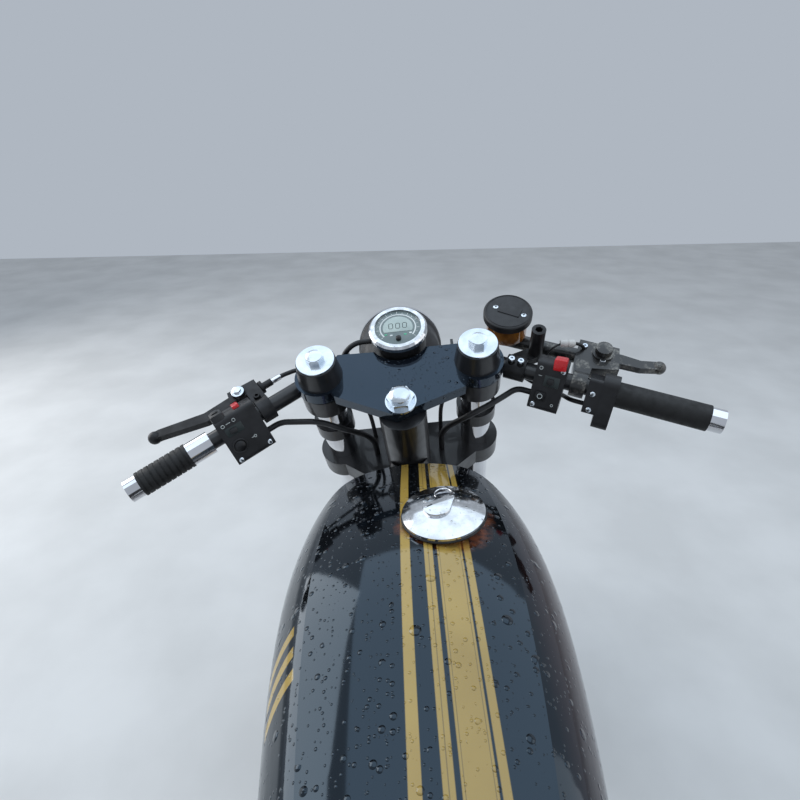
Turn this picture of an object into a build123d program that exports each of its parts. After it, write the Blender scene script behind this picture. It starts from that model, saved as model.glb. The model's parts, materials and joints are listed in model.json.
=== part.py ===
from build123d import *
import os
from math import asin, atan, atan2, cos, degrees, pi, radians, sin, sqrt, tan

os.makedirs("parts", exist_ok=True)

# Driving dimensions, in millimetres and degrees.
# The motorcycle is modelled upright: X to the rider's right, Y forward, Z up from the ground.
wheelbase = 1400
tyre_radius = 318
bead_radius = tyre_radius - 90
front_tyre_width = 100
rear_tyre_width = 120
front_bead_half = 36
rear_bead_half = 44
tyre_wall = 10
rim_wall = 4
rim_lip = 12
rim_well = 14
axle_radius = 10
running_gap = 0.05

rake = 27
fork_offset = 54
fork_spacing = 200
yoke_height = 940
parked_lean = 5.15

fork_tube_radius = 21.5
slider_radius = 28
stem_radius = 15
top_yoke_thickness = 16
lower_yoke_top = -170
lower_yoke_thickness = 34
bearing_gap = 1
head_tube_radius = 30

frame_tube_radius = 15
backbone_radius = 18
rail_height = 205
rail_half = 105
pivot_height = 345
subframe_radius = 12
subframe_height = 722

chain_x = -76
chain_plate = 3
chain_plate_height = 14
sprocket_thickness = 7
chain_side_gap = 1.5
chain_pitch = 15.875
rear_teeth = 40
front_teeth = 15

spoke_radius = 2
spoke_count = 36

# Steering frame: X across, Y forward in the yoke plane, Z up along the steering axis.
rake_sin, rake_cos = sin(radians(rake)), cos(radians(rake))
leg_length = (yoke_height - tyre_radius + fork_offset * rake_sin) / rake_cos
slider_top, slider_bottom, tube_bottom = 296 - leg_length, -34 - leg_length, 110 - leg_length
stem_y = wheelbase / 2 - fork_offset * rake_cos - leg_length * rake_sin
steering = Plane(
    origin=(0, stem_y, yoke_height), x_dir=(1, 0, 0), z_dir=(0, -rake_sin, rake_cos)
)
front_y, rear_y = wheelbase / 2, -wheelbase / 2
upright_y = stem_y - 522
engine_y = stem_y - 202
gearbox_y = upright_y + 86.88
sides = (-1, 1)


def steer(x, forward, height):
    """A point of the steering frame in the motorcycle's own frame"""
    return steering.from_local_coords(Vector(x, forward, height))


def across(x, y, z):
    """A plane that faces the rider's right: its X is forward and its Y is up"""
    return Plane(origin=(x, y, z), x_dir=(0, 1, 0), z_dir=(1, 0, 0))


def wheel_section(y):
    """A plane through a wheel's axle: its X is across and its Y is the radius"""
    return Plane(origin=(0, y, tyre_radius), x_dir=(1, 0, 0), z_dir=(0, -1, 0))


def rod(start, end, radius, bore=0):
    """A straight round bar or tube between two points"""
    start, end = Vector(*start), Vector(*end)
    with BuildPart() as made:
        with BuildSketch(Plane(origin=start, z_dir=end - start)):
            Circle(radius)
            if bore:
                Circle(bore, mode=Mode.SUBTRACT)
        extrude(amount=(end - start).length)
    return made.part


def bent_tube(points, radius, bends):
    """A round tube along straight runs joined by bends"""
    with BuildPart() as made:
        with BuildLine() as path:
            FilletPolyline(*points, radius=bends)
        start = path.wire()
        with BuildSketch(Plane(origin=start @ 0, z_dir=start % 0)):
            Circle(radius)
        sweep(path=start)
    return made.part


def cone(start, end, start_radius, end_radius):
    """A round piece that widens or narrows evenly between two points"""
    start, end = Vector(*start), Vector(*end)
    with BuildPart() as made:
        with BuildSketch(Plane(origin=start, z_dir=end - start)):
            Circle(start_radius)
        with BuildSketch(Plane(origin=end, z_dir=end - start)):
            Circle(end_radius)
        loft()
    return made.part


def cable(points, radius):
    """A cable along a held route, each bend as wide as its two runs allow"""
    points = [Vector(*point) for point in points]
    bends = []
    for before, corner, after in zip(points, points[1:], points[2:]):
        half_turn = radians((corner - before).get_angle(after - corner)) / 2
        shorter = min((corner - before).length, (after - corner).length)
        bends.append(0.45 * shorter / tan(half_turn))
    return bent_tube(points, radius, bends)


def dome(rim_x, rim_radius, tip_x):
    """The middle point of a spherical cap from its rim to its tip on the axis"""
    centre = (rim_x**2 + rim_radius**2 - tip_x**2) / (2 * (rim_x - tip_x))
    radius = abs(tip_x - centre)
    half_angle = asin(min(1.0, rim_radius / radius)) / 2
    direction = 1 if tip_x > centre else -1
    return (centre + direction * radius * cos(half_angle), radius * sin(half_angle))


def ring_of(profile, y):
    """A ring turned about a wheel's axle from points of across and radius"""
    with BuildPart() as made:
        with BuildSketch(wheel_section(y)):
            with BuildLine():
                Polyline(*profile, close=True)
            make_face()
        revolve(axis=Axis((0, y, tyre_radius), (1, 0, 0)))
    return made.part


# Tyres: a round crown, sidewalls down to the rim's lips, hollow inside
def tyre(y, width, bead_half):
    crown = width / 2
    widest = tyre_radius - crown
    lip_top = bead_radius + rim_lip + 1
    inner = crown - tyre_wall
    with BuildPart() as made:
        with BuildSketch(wheel_section(y)):
            with BuildLine():
                Line((-bead_half, bead_radius), (-bead_half, lip_top))
                Line((-bead_half, lip_top), (-crown, widest))
                ThreePointArc((-crown, widest), (0, tyre_radius), (crown, widest))
                Line((crown, widest), (bead_half, lip_top))
                Line((bead_half, lip_top), (bead_half, bead_radius))
                Line((bead_half, bead_radius), (bead_half - tyre_wall, bead_radius))
                Line((bead_half - tyre_wall, bead_radius), (inner, widest))
                ThreePointArc((inner, widest), (0, tyre_radius - tyre_wall), (-inner, widest))
                Line((-inner, widest), (tyre_wall - bead_half, bead_radius))
                Line((tyre_wall - bead_half, bead_radius), (-bead_half, bead_radius))
            make_face()
        revolve(axis=Axis((0, y, tyre_radius), (1, 0, 0)))
    return made.part


with BuildPart() as front_tyre:
    add(tyre(front_y, front_tyre_width, front_bead_half))

with BuildPart() as rear_tyre:
    add(tyre(rear_y, rear_tyre_width, rear_bead_half))


# Wire wheels: a well-base rim, a hub with spoke flanges, and crossed spokes
def rim(y, bead_half):
    seat = tyre_wall
    slope = seat + 6
    right = [
        (bead_half - slope, bead_radius - rim_well),
        (bead_half - seat, bead_radius),
        (bead_half, bead_radius),
        (bead_half, bead_radius + rim_lip),
        (bead_half + rim_wall, bead_radius + rim_lip),
        (bead_half + rim_wall, bead_radius - rim_wall),
        (bead_half - seat + rim_wall, bead_radius - rim_wall),
        (bead_half - slope + rim_wall, bead_radius - rim_well - rim_wall),
    ]
    left = [(-across_, radius) for across_, radius in reversed(right)]
    return ring_of(right + left, y)


def spokes(y, flanges, lean_steps):
    """Spokes from each hub flange, leaning forward and back by turns, to the rim's well"""
    per_flange = spoke_count // 2
    rim_end = bead_radius - rim_well - rim_wall / 2
    step = 2 * pi / per_flange
    made = []
    for side, (flange_x, flange_radius) in enumerate(flanges):
        for index in range(per_flange):
            hub_angle = (index + side / 2) * step
            turn = lean_steps * step * (1 if index % 2 else -1)
            rim_angle = hub_angle + turn
            rim_x = 6 if flange_x > 0 else -6
            start = (
                flange_x,
                y + flange_radius * cos(hub_angle),
                tyre_radius + flange_radius * sin(hub_angle),
            )
            end = (
                rim_x,
                y + rim_end * cos(rim_angle),
                tyre_radius + rim_end * sin(rim_angle),
            )
            made.append(rod(start, end, spoke_radius))
    return made


front_hub_half = 56
front_flange = 37
front_flange_radius = 46
front_hub_profile = [
    (-front_hub_half, axle_radius + running_gap),
    (-front_hub_half, 34),
    (-front_flange - 3, 34),
    (-front_flange - 3, front_flange_radius),
    (-front_flange + 3, front_flange_radius),
    (-front_flange + 3, 28),
    (front_flange - 3, 28),
    (front_flange - 3, front_flange_radius),
    (front_flange + 3, front_flange_radius),
    (front_flange + 3, 34),
    (front_hub_half, 34),
    (front_hub_half, axle_radius + running_gap),
]
with BuildPart() as front_wheel:
    add(rim(front_y, front_bead_half))
    add(ring_of(front_hub_profile, front_y))
    front_flanges = ((-front_flange, front_flange_radius - 5), (front_flange, front_flange_radius - 5))
    add(spokes(front_y, front_flanges, 1.0))

# Rear hub: sprocket seat on the left, brake drum open to the right
sprocket_right = chain_x + sprocket_thickness / 2
drum_right = 44
drum_radius = 92
drum_bore = 82
rear_flange_x = -45
rear_flange_radius = 62
rear_hub_profile = [
    (sprocket_right, axle_radius + running_gap),
    (sprocket_right, 48),
    (rear_flange_x - 3, 48),
    (rear_flange_x - 3, rear_flange_radius),
    (rear_flange_x + 3, rear_flange_radius),
    (rear_flange_x + 3, 40),
    (2, 40),
    (8, drum_radius),
    (drum_right, drum_radius),
    (drum_right, drum_bore),
    (16, drum_bore),
    (16, 24),
    (drum_right, 24),
    (drum_right, axle_radius + running_gap),
]
with BuildPart() as rear_wheel:
    add(rim(rear_y, rear_bead_half))
    add(ring_of(rear_hub_profile, rear_y))
    rear_flanges = ((rear_flange_x, rear_flange_radius - 5), (26, drum_radius - 4))
    add(spokes(rear_y, rear_flanges, 0.8))

# Front brake discs: a ring for the pads on a carrier bolted to each hub face
disc_radius = 140
disc_inner = 86
disc_x = 60
disc_thickness = 5
carrier_thickness = 4
with BuildPart() as front_discs:
    for side in sides:
        carrier_start = side * front_hub_half
        with BuildSketch(across(carrier_start, front_y, tyre_radius)):
            Circle(disc_inner + 8)
            Circle(axle_radius + 5, mode=Mode.SUBTRACT)
            with PolarLocations(62, 6):
                Circle(16, mode=Mode.SUBTRACT)
        extrude(amount=side * carrier_thickness)
        with BuildSketch(across(side * (disc_x - disc_thickness / 2), front_y, tyre_radius)):
            Circle(disc_radius)
            Circle(disc_inner, mode=Mode.SUBTRACT)
        extrude(amount=side * disc_thickness)

# Rear sprocket: forty teeth, their tips between the chain's side plates
rear_pitch_radius = chain_pitch / (2 * sin(pi / rear_teeth))
front_pitch_radius = chain_pitch / (2 * sin(pi / front_teeth))


roller_radius = 4.8
roller_gap = 0.3
tooth_reach = 4.5


def toothed_disc(y, z, teeth, pitch_radius, first_seat, seat):
    """A sprocket's disc with a roller seat between each two teeth, from the angle of one seat"""
    with BuildPart() as made:
        with BuildSketch(across(chain_x - sprocket_thickness / 2, y, z)):
            Circle(pitch_radius + tooth_reach)
            with PolarLocations(pitch_radius, teeth, start_angle=first_seat):
                Circle(seat, mode=Mode.SUBTRACT)
            with PolarLocations(pitch_radius + seat, teeth, start_angle=first_seat):
                Trapezoid(3.2 * seat, 2 * seat, 108, rotation=90, mode=Mode.SUBTRACT)
        extrude(amount=sprocket_thickness)
    return made.part


# Chain route: a straight run above and below, and an arc round each sprocket. It is measured in
# pitches, so that the pins on the arcs fall on the roller seats.
chain_front, chain_rear = Vector(gearbox_y, pivot_height), Vector(rear_y, tyre_radius)
chain_span = chain_front - chain_rear
chain_along = chain_span.normalized()
chain_normal = Vector(-chain_along.Y, chain_along.X)
chain_lift = asin((rear_pitch_radius - front_pitch_radius) / chain_span.length)
run_pitches = chain_span.length * cos(chain_lift) / chain_pitch
front_pitches = (pi - 2 * chain_lift) * front_teeth / (2 * pi)
rear_pitches = (pi + 2 * chain_lift) * rear_teeth / (2 * pi)
route_pitches = 2 * run_pitches + front_pitches + rear_pitches
link_count = 2 * round(route_pitches / 2)


def around(centre, radius, angle):
    """A point of a sprocket's pitch circle, its angle taken from the line of the two axles"""
    return centre + chain_along * radius * cos(angle) + chain_normal * radius * sin(angle)


def pin_place(distance):
    """A point of the route by its distance in pitches, from the top of the rear sprocket forward"""
    distance = distance % route_pitches
    leave = pi / 2 + chain_lift
    if distance < run_pitches:
        share = distance / run_pitches
        start = around(chain_rear, rear_pitch_radius, pi - leave)
        end = around(chain_front, front_pitch_radius, pi - leave)
        return start + (end - start) * share
    distance -= run_pitches
    if distance < front_pitches:
        return around(chain_front, front_pitch_radius, pi - leave - 2 * pi * distance / front_teeth)
    distance -= front_pitches
    if distance < run_pitches:
        share = distance / run_pitches
        start = around(chain_front, front_pitch_radius, leave - pi)
        end = around(chain_rear, rear_pitch_radius, leave - pi)
        return start + (end - start) * share
    distance -= run_pitches
    return around(chain_rear, rear_pitch_radius, leave - pi - 2 * pi * distance / rear_teeth)


pins = [pin_place(index * route_pitches / link_count) for index in range(link_count)]


def seat_angle(centre, far_point):
    """The angle of the pin nearest to a sprocket's far side, in degrees"""
    spoke = min(pins, key=lambda pin: (pin - far_point).length) - centre
    return degrees(atan2(spoke.Y, spoke.X))


rear_seat = seat_angle(chain_rear, chain_rear - chain_along * rear_pitch_radius)
front_seat = seat_angle(chain_front, chain_front + chain_along * front_pitch_radius)
with BuildPart() as rear_sprocket:
    seat = roller_radius + roller_gap
    add(toothed_disc(rear_y, tyre_radius, rear_teeth, rear_pitch_radius, rear_seat, seat))
    with BuildSketch(across(chain_x - sprocket_thickness / 2, rear_y, tyre_radius)):
        Circle(axle_radius + 4)
        with PolarLocations(70, 6):
            Circle(15)
    extrude(amount=sprocket_thickness, mode=Mode.SUBTRACT)


# Chain: inner and outer links by turns, each a pair of waisted plates, joined by pins. Rollers fill
# the straight runs and the seats of the fixed front sprocket. Round the rear sprocket, which turns,
# the plates carry only pin heads.
plate_offset = sprocket_thickness / 2 + chain_side_gap
half_plate = chain_plate_height / 2
waist_radius = 10
pin_radius = 3
pin_head = 1


def link_plate(side, outer, first, second):
    """A chain plate between two pins: four arcs, round at the ends and waisted between"""
    middle = (first + second) * 0.5
    along = (second - first).normalized()
    out = Vector(-along.Y, along.X)
    half = (second - first).length / 2
    waist_at = sqrt((half_plate + waist_radius) ** 2 - half**2)
    share = half_plate / (half_plate + waist_radius)
    turn_in, turn_up = half * (1 - share), waist_at * share
    plate_x = chain_x + side * (plate_offset + (chain_plate / 2 if outer else 0))

    def corner(forward, up):
        return middle + along * forward + out * up

    with BuildPart() as made:
        with BuildSketch(across(plate_x, 0, 0)):
            with BuildLine():
                for way in sides:
                    waist = corner(0, way * (waist_at - waist_radius))
                    ThreePointArc(corner(-turn_in, way * turn_up), waist, corner(turn_in, way * turn_up))
                    round_end = corner(way * (half + half_plate), 0)
                    ThreePointArc(corner(way * turn_in, turn_up), round_end, corner(way * turn_in, -turn_up))
            make_face()
        extrude(amount=side * chain_plate / 2)
    return made.part


chain_pieces = []
for side in sides:
    for index, pin in enumerate(pins):
        chain_pieces.append(link_plate(side, index % 2 == 1, pin, pins[(index + 1) % link_count]))
for pin in pins:
    pin_reach = plate_offset + chain_plate + pin_head
    beyond_rear = (pin - chain_rear).length - rear_pitch_radius
    beyond_front = (pin - chain_front).length - front_pitch_radius
    clear = tooth_reach + roller_radius + 2
    if beyond_rear > clear and (beyond_front > clear or abs(beyond_front) < 0.01):
        chain_pieces.append(rod((chain_x - pin_reach, pin.X, pin.Y), (chain_x + pin_reach, pin.X, pin.Y), pin_radius))
        chain_pieces.append(
            rod((chain_x - plate_offset, pin.X, pin.Y), (chain_x + plate_offset, pin.X, pin.Y), roller_radius)
        )
    else:
        for side in sides:
            head_start = (chain_x + side * plate_offset, pin.X, pin.Y)
            chain_pieces.append(rod(head_start, (chain_x + side * pin_reach, pin.X, pin.Y), pin_radius))
with BuildPart() as chain:
    add(chain_pieces)

# Gearbox sprocket on its output shaft, inside the chain's front loop
case_left = -60
with BuildPart() as gearbox_sprocket:
    add(toothed_disc(gearbox_y, pivot_height, front_teeth, front_pitch_radius, front_seat, roller_radius))
    add(rod((case_left, gearbox_y, pivot_height), (chain_x - 8, gearbox_y, pivot_height), 14))

# Frame: head tube with bearing seats, backbone and a double cradle
head_top = -top_yoke_thickness - bearing_gap
head_bottom = lower_yoke_top + bearing_gap
backbone_start = steer(0, 0, -145)
backbone_end = Vector(0, upright_y, subframe_height - 6)
cradle_bends = (70, 45, 60, 60)
engine_tube_ys = (engine_y + 50, engine_y - 220)
engine_tube_radius = 12
stand_pivot = Vector(-112, 40, 164)
stand_reach = Vector(-120, 50, -140)
stand_folded = Vector(-55, -175, -40)
stand_axis = stand_reach.cross(stand_folded).normalized()
stand_tongue_half = 5
stand_ear_gap = 0.4
stand_ear_thickness = 6
stand_ear_radius = 14
stand_clevis_half = stand_tongue_half + stand_ear_gap + stand_ear_thickness
toward_rail = Vector(-rail_half, 40, rail_height) - stand_pivot
stand_web = (toward_rail - stand_axis * toward_rail.dot(stand_axis)).normalized()
stand_bolt_radius = 6
swing_half = 85


with BuildPart() as frame_cradle:
    with BuildSketch(steering.offset(head_bottom)):
        Circle(head_tube_radius)
    extrude(amount=head_top - head_bottom)
    add(rod(backbone_start, backbone_end, backbone_radius))
    for side in sides:
        cradle_points = [
            steer(side * 10, -20, -112),
            (side * rail_half, stem_y - 10, 540),
            (side * rail_half, stem_y - 50, rail_height),
            (side * rail_half, upright_y, rail_height),
            (side * rail_half, upright_y, 480),
            (side * 60, upright_y, subframe_height),
        ]
        add(bent_tube(cradle_points, frame_tube_radius, cradle_bends))
        pivot_outer = (side * rail_half, upright_y, pivot_height)
        add(rod(pivot_outer, (side * swing_half, upright_y, pivot_height), 22))
    add(rod((-78, upright_y, subframe_height), (78, upright_y, subframe_height), frame_tube_radius))
    for y in engine_tube_ys:
        add(rod((-rail_half, y, rail_height), (rail_half, y, rail_height), engine_tube_radius))
    for side in sides:
        ear_start = stand_pivot + stand_axis * side * (stand_tongue_half + stand_ear_gap)
        with BuildSketch(Plane(origin=ear_start, x_dir=stand_web, z_dir=stand_axis)):
            Circle(stand_ear_radius)
            with Locations((13, 0)):
                Rectangle(26, 20)
        extrude(amount=side * stand_ear_thickness)
    web_start = stand_pivot - stand_axis * stand_clevis_half
    with BuildSketch(Plane(origin=web_start, x_dir=stand_web, z_dir=stand_axis)):
        with Locations((22, 0)):
            Rectangle(8, 20)
    extrude(amount=2 * stand_clevis_half)
    rail_above = Vector(-rail_half, stand_pivot.Y, rail_height)
    add(rod(stand_pivot + stand_axis * stand_clevis_half + stand_web * 14, rail_above, 6))
    with BuildSketch(Plane(origin=stand_pivot - stand_axis * 20, z_dir=stand_axis)):
        Circle(stand_bolt_radius + running_gap)
    extrude(amount=40, mode=Mode.SUBTRACT)
    with BuildSketch(steering.offset(head_bottom)):
        Circle(stem_radius + running_gap)
    extrude(amount=head_top - head_bottom, mode=Mode.SUBTRACT)

# Swingarm: pivot tube between the uprights, two arms out round the tyre, axle plates
arm_half = 103
arm_radius = 15
axle_plate = 8
spool_ahead, spool_below = 27, 9
spool_radius, spool_thread_radius = 9, 4
spool_end_x = arm_half + axle_plate / 2 + 14
with BuildPart() as swingarm:
    pivot_end = swing_half - 0.5
    add(rod((-pivot_end, upright_y, pivot_height), (pivot_end, upright_y, pivot_height), 22))
    for side in sides:
        arm_points = [
            (side * 68, upright_y - 5, pivot_height),
            (side * 68, upright_y - 70, pivot_height - 3),
            (side * arm_half, upright_y - 170, pivot_height - 9),
            (side * arm_half, rear_y + 40, tyre_radius + 2),
        ]
        add(bent_tube(arm_points, arm_radius, (70, 70)))
        with BuildSketch(across(side * arm_half - axle_plate / 2, rear_y, tyre_radius)):
            with Locations((15, 0)):
                RectangleRounded(90, 46, 18)
            Circle(axle_radius, mode=Mode.SUBTRACT)
        extrude(amount=axle_plate)
        with BuildSketch(across(side * arm_half - 6, rear_y + 48, tyre_radius)):
            with Locations((0, 26)):
                RectangleRounded(34, 56, 8)
        extrude(amount=12)

# Spool bosses: a threaded boss on each axle plate, for a paddock stand
with BuildPart() as spool_bosses:
    for side in sides:
        spool_start = (side * (arm_half + axle_plate / 2), rear_y + spool_ahead, tyre_radius - spool_below)
        spool_end = (side * spool_end_x, rear_y + spool_ahead, tyre_radius - spool_below)
        add(rod(spool_start, spool_end, spool_radius, spool_thread_radius))

# Rear axle with its spacers and nuts
with BuildPart() as rear_axle:
    add(rod((-125, rear_y, tyre_radius), (125, rear_y, tyre_radius), axle_radius))
    for start, end in (
        (-arm_half + axle_plate / 2, chain_x - sprocket_thickness / 2 - bearing_gap),
        (56.5, arm_half - axle_plate / 2),
    ):
        add(rod((start, rear_y, tyre_radius), (end, rear_y, tyre_radius), axle_radius + 3.5))
    for side in sides:
        with BuildSketch(across(side * (arm_half + axle_plate / 2), rear_y, tyre_radius)):
            RegularPolygon(radius=16, side_count=6)
        extrude(amount=side * 14)

# Rear brake plate: closes the drum, stands still on the axle
with BuildPart() as rear_brake_plate:
    with BuildSketch(across(drum_right + bearing_gap, rear_y, tyre_radius)):
        Circle(drum_radius - 1)
        Circle(axle_radius, mode=Mode.SUBTRACT)
    extrude(amount=56.5 - drum_right - bearing_gap)

# Engine: crankcase with side covers, finned cylinders and head
engine_top = rail_height + 250
sump_z = rail_height + engine_tube_radius
case_bottom = rail_height + frame_tube_radius + 4
head_top_z = subframe_height - 67
cylinder_top = engine_top + 0.525 * (head_top_z - engine_top)
cylinder_front, cylinder_rear = engine_y + 80, engine_y - 80
case_plane = across(case_left, engine_y, rail_height)
cover_plane = across(-130, engine_y, rail_height)
with BuildPart() as crankcase:
    with BuildSketch(case_plane):
        with BuildLine():
            Polyline(
                (115, 95), (115, 195), (85, 250), (-90, 250), (-180, 225),
                (-270, 195), (-280, 125), (-260, 45), (-230, 19), (70, 19), close=True,
            )
        make_face()
    extrude(amount=190)
    with BuildSketch(cover_plane):
        with BuildLine():
            Polyline(
                (115, 95), (115, 195), (85, 250), (-90, 250), (-150, 225), (-150, 19), (70, 19), close=True,
            )
        make_face()
    extrude(amount=80)
    with BuildSketch(Plane.XY.offset(sump_z)):
        with Locations((0, engine_y - 80)):
            RectangleRounded(160, 296, 20)
    extrude(amount=case_bottom - sump_z + 10)
    for x, ahead, up, radius, reach in (
        (-130, 10, 135, 78, -40),
        (130, -140, 140, 84, 42),
        (130, 30, 125, 60, 34),
    ):
        with BuildSketch(across(x, engine_y + ahead, rail_height + up)):
            Circle(radius)
        extrude(amount=reach)

fin_reach = 12
fin_thickness = 3
fin_pitch = (cylinder_top - engine_top) / 10
cylinder_half = 112
bore_spacing = 124
cylinder_depth = cylinder_front - cylinder_rear
cylinder_middle = (cylinder_front + cylinder_rear) / 2


def finned_block(bottom, top, half_width, depth, fins):
    """A block with level cooling fins round it"""
    with BuildPart() as made:
        with BuildSketch(Plane.XY.offset(bottom)):
            with Locations((0, cylinder_middle)):
                RectangleRounded(2 * half_width, depth, 25)
        extrude(amount=top - bottom)
        for fin in range(fins):
            with BuildSketch(Plane.XY.offset(bottom + fin_pitch * (fin + 0.6))):
                with Locations((0, cylinder_middle)):
                    RectangleRounded(2 * (half_width + fin_reach), depth + 2 * fin_reach, 30)
            extrude(amount=fin_thickness)
    return made.part


with BuildPart() as cylinders:
    add(finned_block(engine_top, cylinder_top, cylinder_half - 10, cylinder_depth - 25, 9))

with BuildPart() as cylinder_head:
    add(finned_block(cylinder_top, head_top_z, cylinder_half, cylinder_depth - 15, 7))
    with BuildSketch(Plane.XY.offset(head_top_z)):
        with Locations((0, cylinder_middle)):
            RectangleRounded(2 * cylinder_half - 30, cylinder_depth - 60, 20)
    extrude(amount=18, taper=12)

# Carburettors and their open filters
port_z = head_top_z - 50
head_rear = cylinder_middle - (cylinder_depth - 15) / 2
carb_rear = head_rear - 75
with BuildPart() as carburettors:
    for side in sides:
        x = side * bore_spacing / 2
        add(rod((x, head_rear - fin_reach, port_z), (x, carb_rear, port_z), 22))
        add(rod((x, head_rear - 45, port_z - 48), (x, head_rear - 45, port_z + 42), 20))

with BuildPart() as air_filters:
    for side in sides:
        x = side * bore_spacing / 2
        add(rod((x, carb_rear, port_z), (x, carb_rear - 75, port_z), 36))

# Exhausts: a header out round the cradle, a run under the engine and a silencer, each side
head_front = cylinder_middle + (cylinder_depth - 15) / 2
header_radius = 19
silencer_radius = 42
outlet_radius, outlet_bore = 26, 20
silencer_nose, silencer_tip = 75, 60
header_points = (
    (62, head_front + fin_reach, port_z - 5),
    (62, head_front + 44, port_z - 5),
    (122, engine_y + 170, port_z - 17),
    (158, engine_y + 220, port_z - 97),
    (156, engine_y + 205, rail_height + 115),
    (154, engine_y + 120, rail_height + 29),
    (160, engine_y - 270, rail_height + 29),
    (196, engine_y - 410, rail_height + 45),
)
silencer_start = Vector(*header_points[-1])
silencer_end = silencer_start + Vector(8, -470, 6)
with BuildPart() as exhausts:
    for side in sides:
        points = [(side * x, y, z) for x, y, z in header_points]
        add(bent_tube(points, header_radius, (30, 40, 60, 60, 60, 90)))
        start = Vector(side * silencer_start.X, silencer_start.Y, silencer_start.Z)
        end = Vector(side * silencer_end.X, silencer_end.Y, silencer_end.Z)
        along = (end - start).normalized()
        body_start, body_end = start + along * silencer_nose, end - along * silencer_tip
        add(cone(start - along * 8, body_start, header_radius + 1, silencer_radius))
        add(rod(body_start, body_end, silencer_radius))
        add(cone(body_end, end, silencer_radius, outlet_radius))
        add(rod(end + along, end - along * 110, outlet_bore), mode=Mode.SUBTRACT)

# Fuel tank: crowned sections from nose to tail, with a tunnel for the backbone
# Columns: distance behind the stem, half width at the widest, then three heights above the
# subframe: bottom, widest and top
tank_stations = (
    (-16, 104, 66, 90, 120),
    (76, 131, -6, 64, 146),
    (212, 142, -20, 58, 160),
    (352, 131, -20, 56, 146),
    (452, 112, 2, 56, 126),
    (512, 88, 24, 60, 102),
)
# The tank's plan from the stem: a rounded nose, and corners taken off the tail
tank_depth = 100
nose_half = ((36, 5), (66, -5), (89, -25), (105, -50), (119, -82), (136, -130), (160, -230))
tank_nose = [(-x, y) for x, y in reversed(nose_half)] + [(0, 9)] + list(nose_half)
tank_tail = ((160, -440), (104, -470), (76, -500), (50, -512), (-50, -512), (-76, -500), (-104, -470), (-160, -440))
tunnel_half = 30
tunnel_gap = 0.3
cap_x, cap_y, cap_radius = 35, stem_y - 148, 42
cap_seat = subframe_height + 162
neck_radius = 33
with BuildPart() as fuel_tank:
    for behind, half, bottom, wide_z, top in tank_stations:
        shoulder_x, shoulder_z = half * 0.68, top - (top - wide_z) * 0.18
        station = (0, stem_y - behind, subframe_height)
        with BuildSketch(Plane(origin=station, x_dir=(1, 0, 0), z_dir=(0, -1, 0))):
            with BuildLine():
                Line((-half * 0.7, bottom), (half * 0.7, bottom))
                ThreePointArc((half * 0.7, bottom), (half, wide_z), (shoulder_x, shoulder_z))
                ThreePointArc((shoulder_x, shoulder_z), (0, top), (-shoulder_x, shoulder_z))
                ThreePointArc((-shoulder_x, shoulder_z), (-half, wide_z), (-half * 0.7, bottom))
            make_face()
    loft()
    with BuildSketch(Plane.XY.offset(subframe_height - tank_depth)):
        with Locations((0, stem_y)):
            with BuildSketch(mode=Mode.PRIVATE) as tank_plan:
                with BuildLine():
                    Spline(*tank_nose)
                    Polyline(tank_nose[-1], *tank_tail, tank_nose[0])
                make_face()
            add(tank_plan.sketch)
    extrude(amount=3 * tank_depth, mode=Mode.INTERSECT)
    tunnel_rise = backbone_radius + tunnel_gap
    slope = (backbone_start.Z - backbone_end.Z) / (backbone_start.Y - backbone_end.Y)
    tunnel_front, tunnel_back = stem_y + 18, stem_y - 582
    tunnel_front_z = backbone_end.Z + slope * (tunnel_front - backbone_end.Y) + tunnel_rise
    tunnel_back_z = backbone_end.Z + slope * (tunnel_back - backbone_end.Y) + tunnel_rise
    with BuildSketch(across(-tunnel_half, 0, 0)):
        with BuildLine():
            Polyline(
                (tunnel_front, tunnel_front_z), (tunnel_back, tunnel_back_z),
                (tunnel_back, tunnel_back_z - 110), (tunnel_front, tunnel_back_z - 110), close=True,
            )
        make_face()
    extrude(amount=2 * tunnel_half, mode=Mode.SUBTRACT)
    with BuildSketch(Plane.XY.offset(cap_seat - 25)):
        with Locations((cap_x, cap_y)):
            Circle(neck_radius)
    extrude(amount=25)

# Filler cap, off the centreline to the right: a low dome on a rim
cap_rim_height, cap_dome_height = 4, 8
with BuildPart() as fuel_cap:
    with BuildSketch(Plane(origin=(cap_x, cap_y, cap_seat), x_dir=(0, 0, 1), z_dir=(1, 0, 0))):
        with BuildLine():
            Line((0, 0), (cap_rim_height + cap_dome_height, 0))
            ThreePointArc(
                (cap_rim_height + cap_dome_height, 0),
                dome(cap_rim_height, cap_radius, cap_rim_height + cap_dome_height),
                (cap_rim_height, cap_radius),
            )
            Line((cap_rim_height, cap_radius), (0, cap_radius))
            Line((0, cap_radius), (0, 0))
        make_face()
    revolve(axis=Axis((cap_x, cap_y, cap_seat), (0, 0, 1)))

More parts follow.
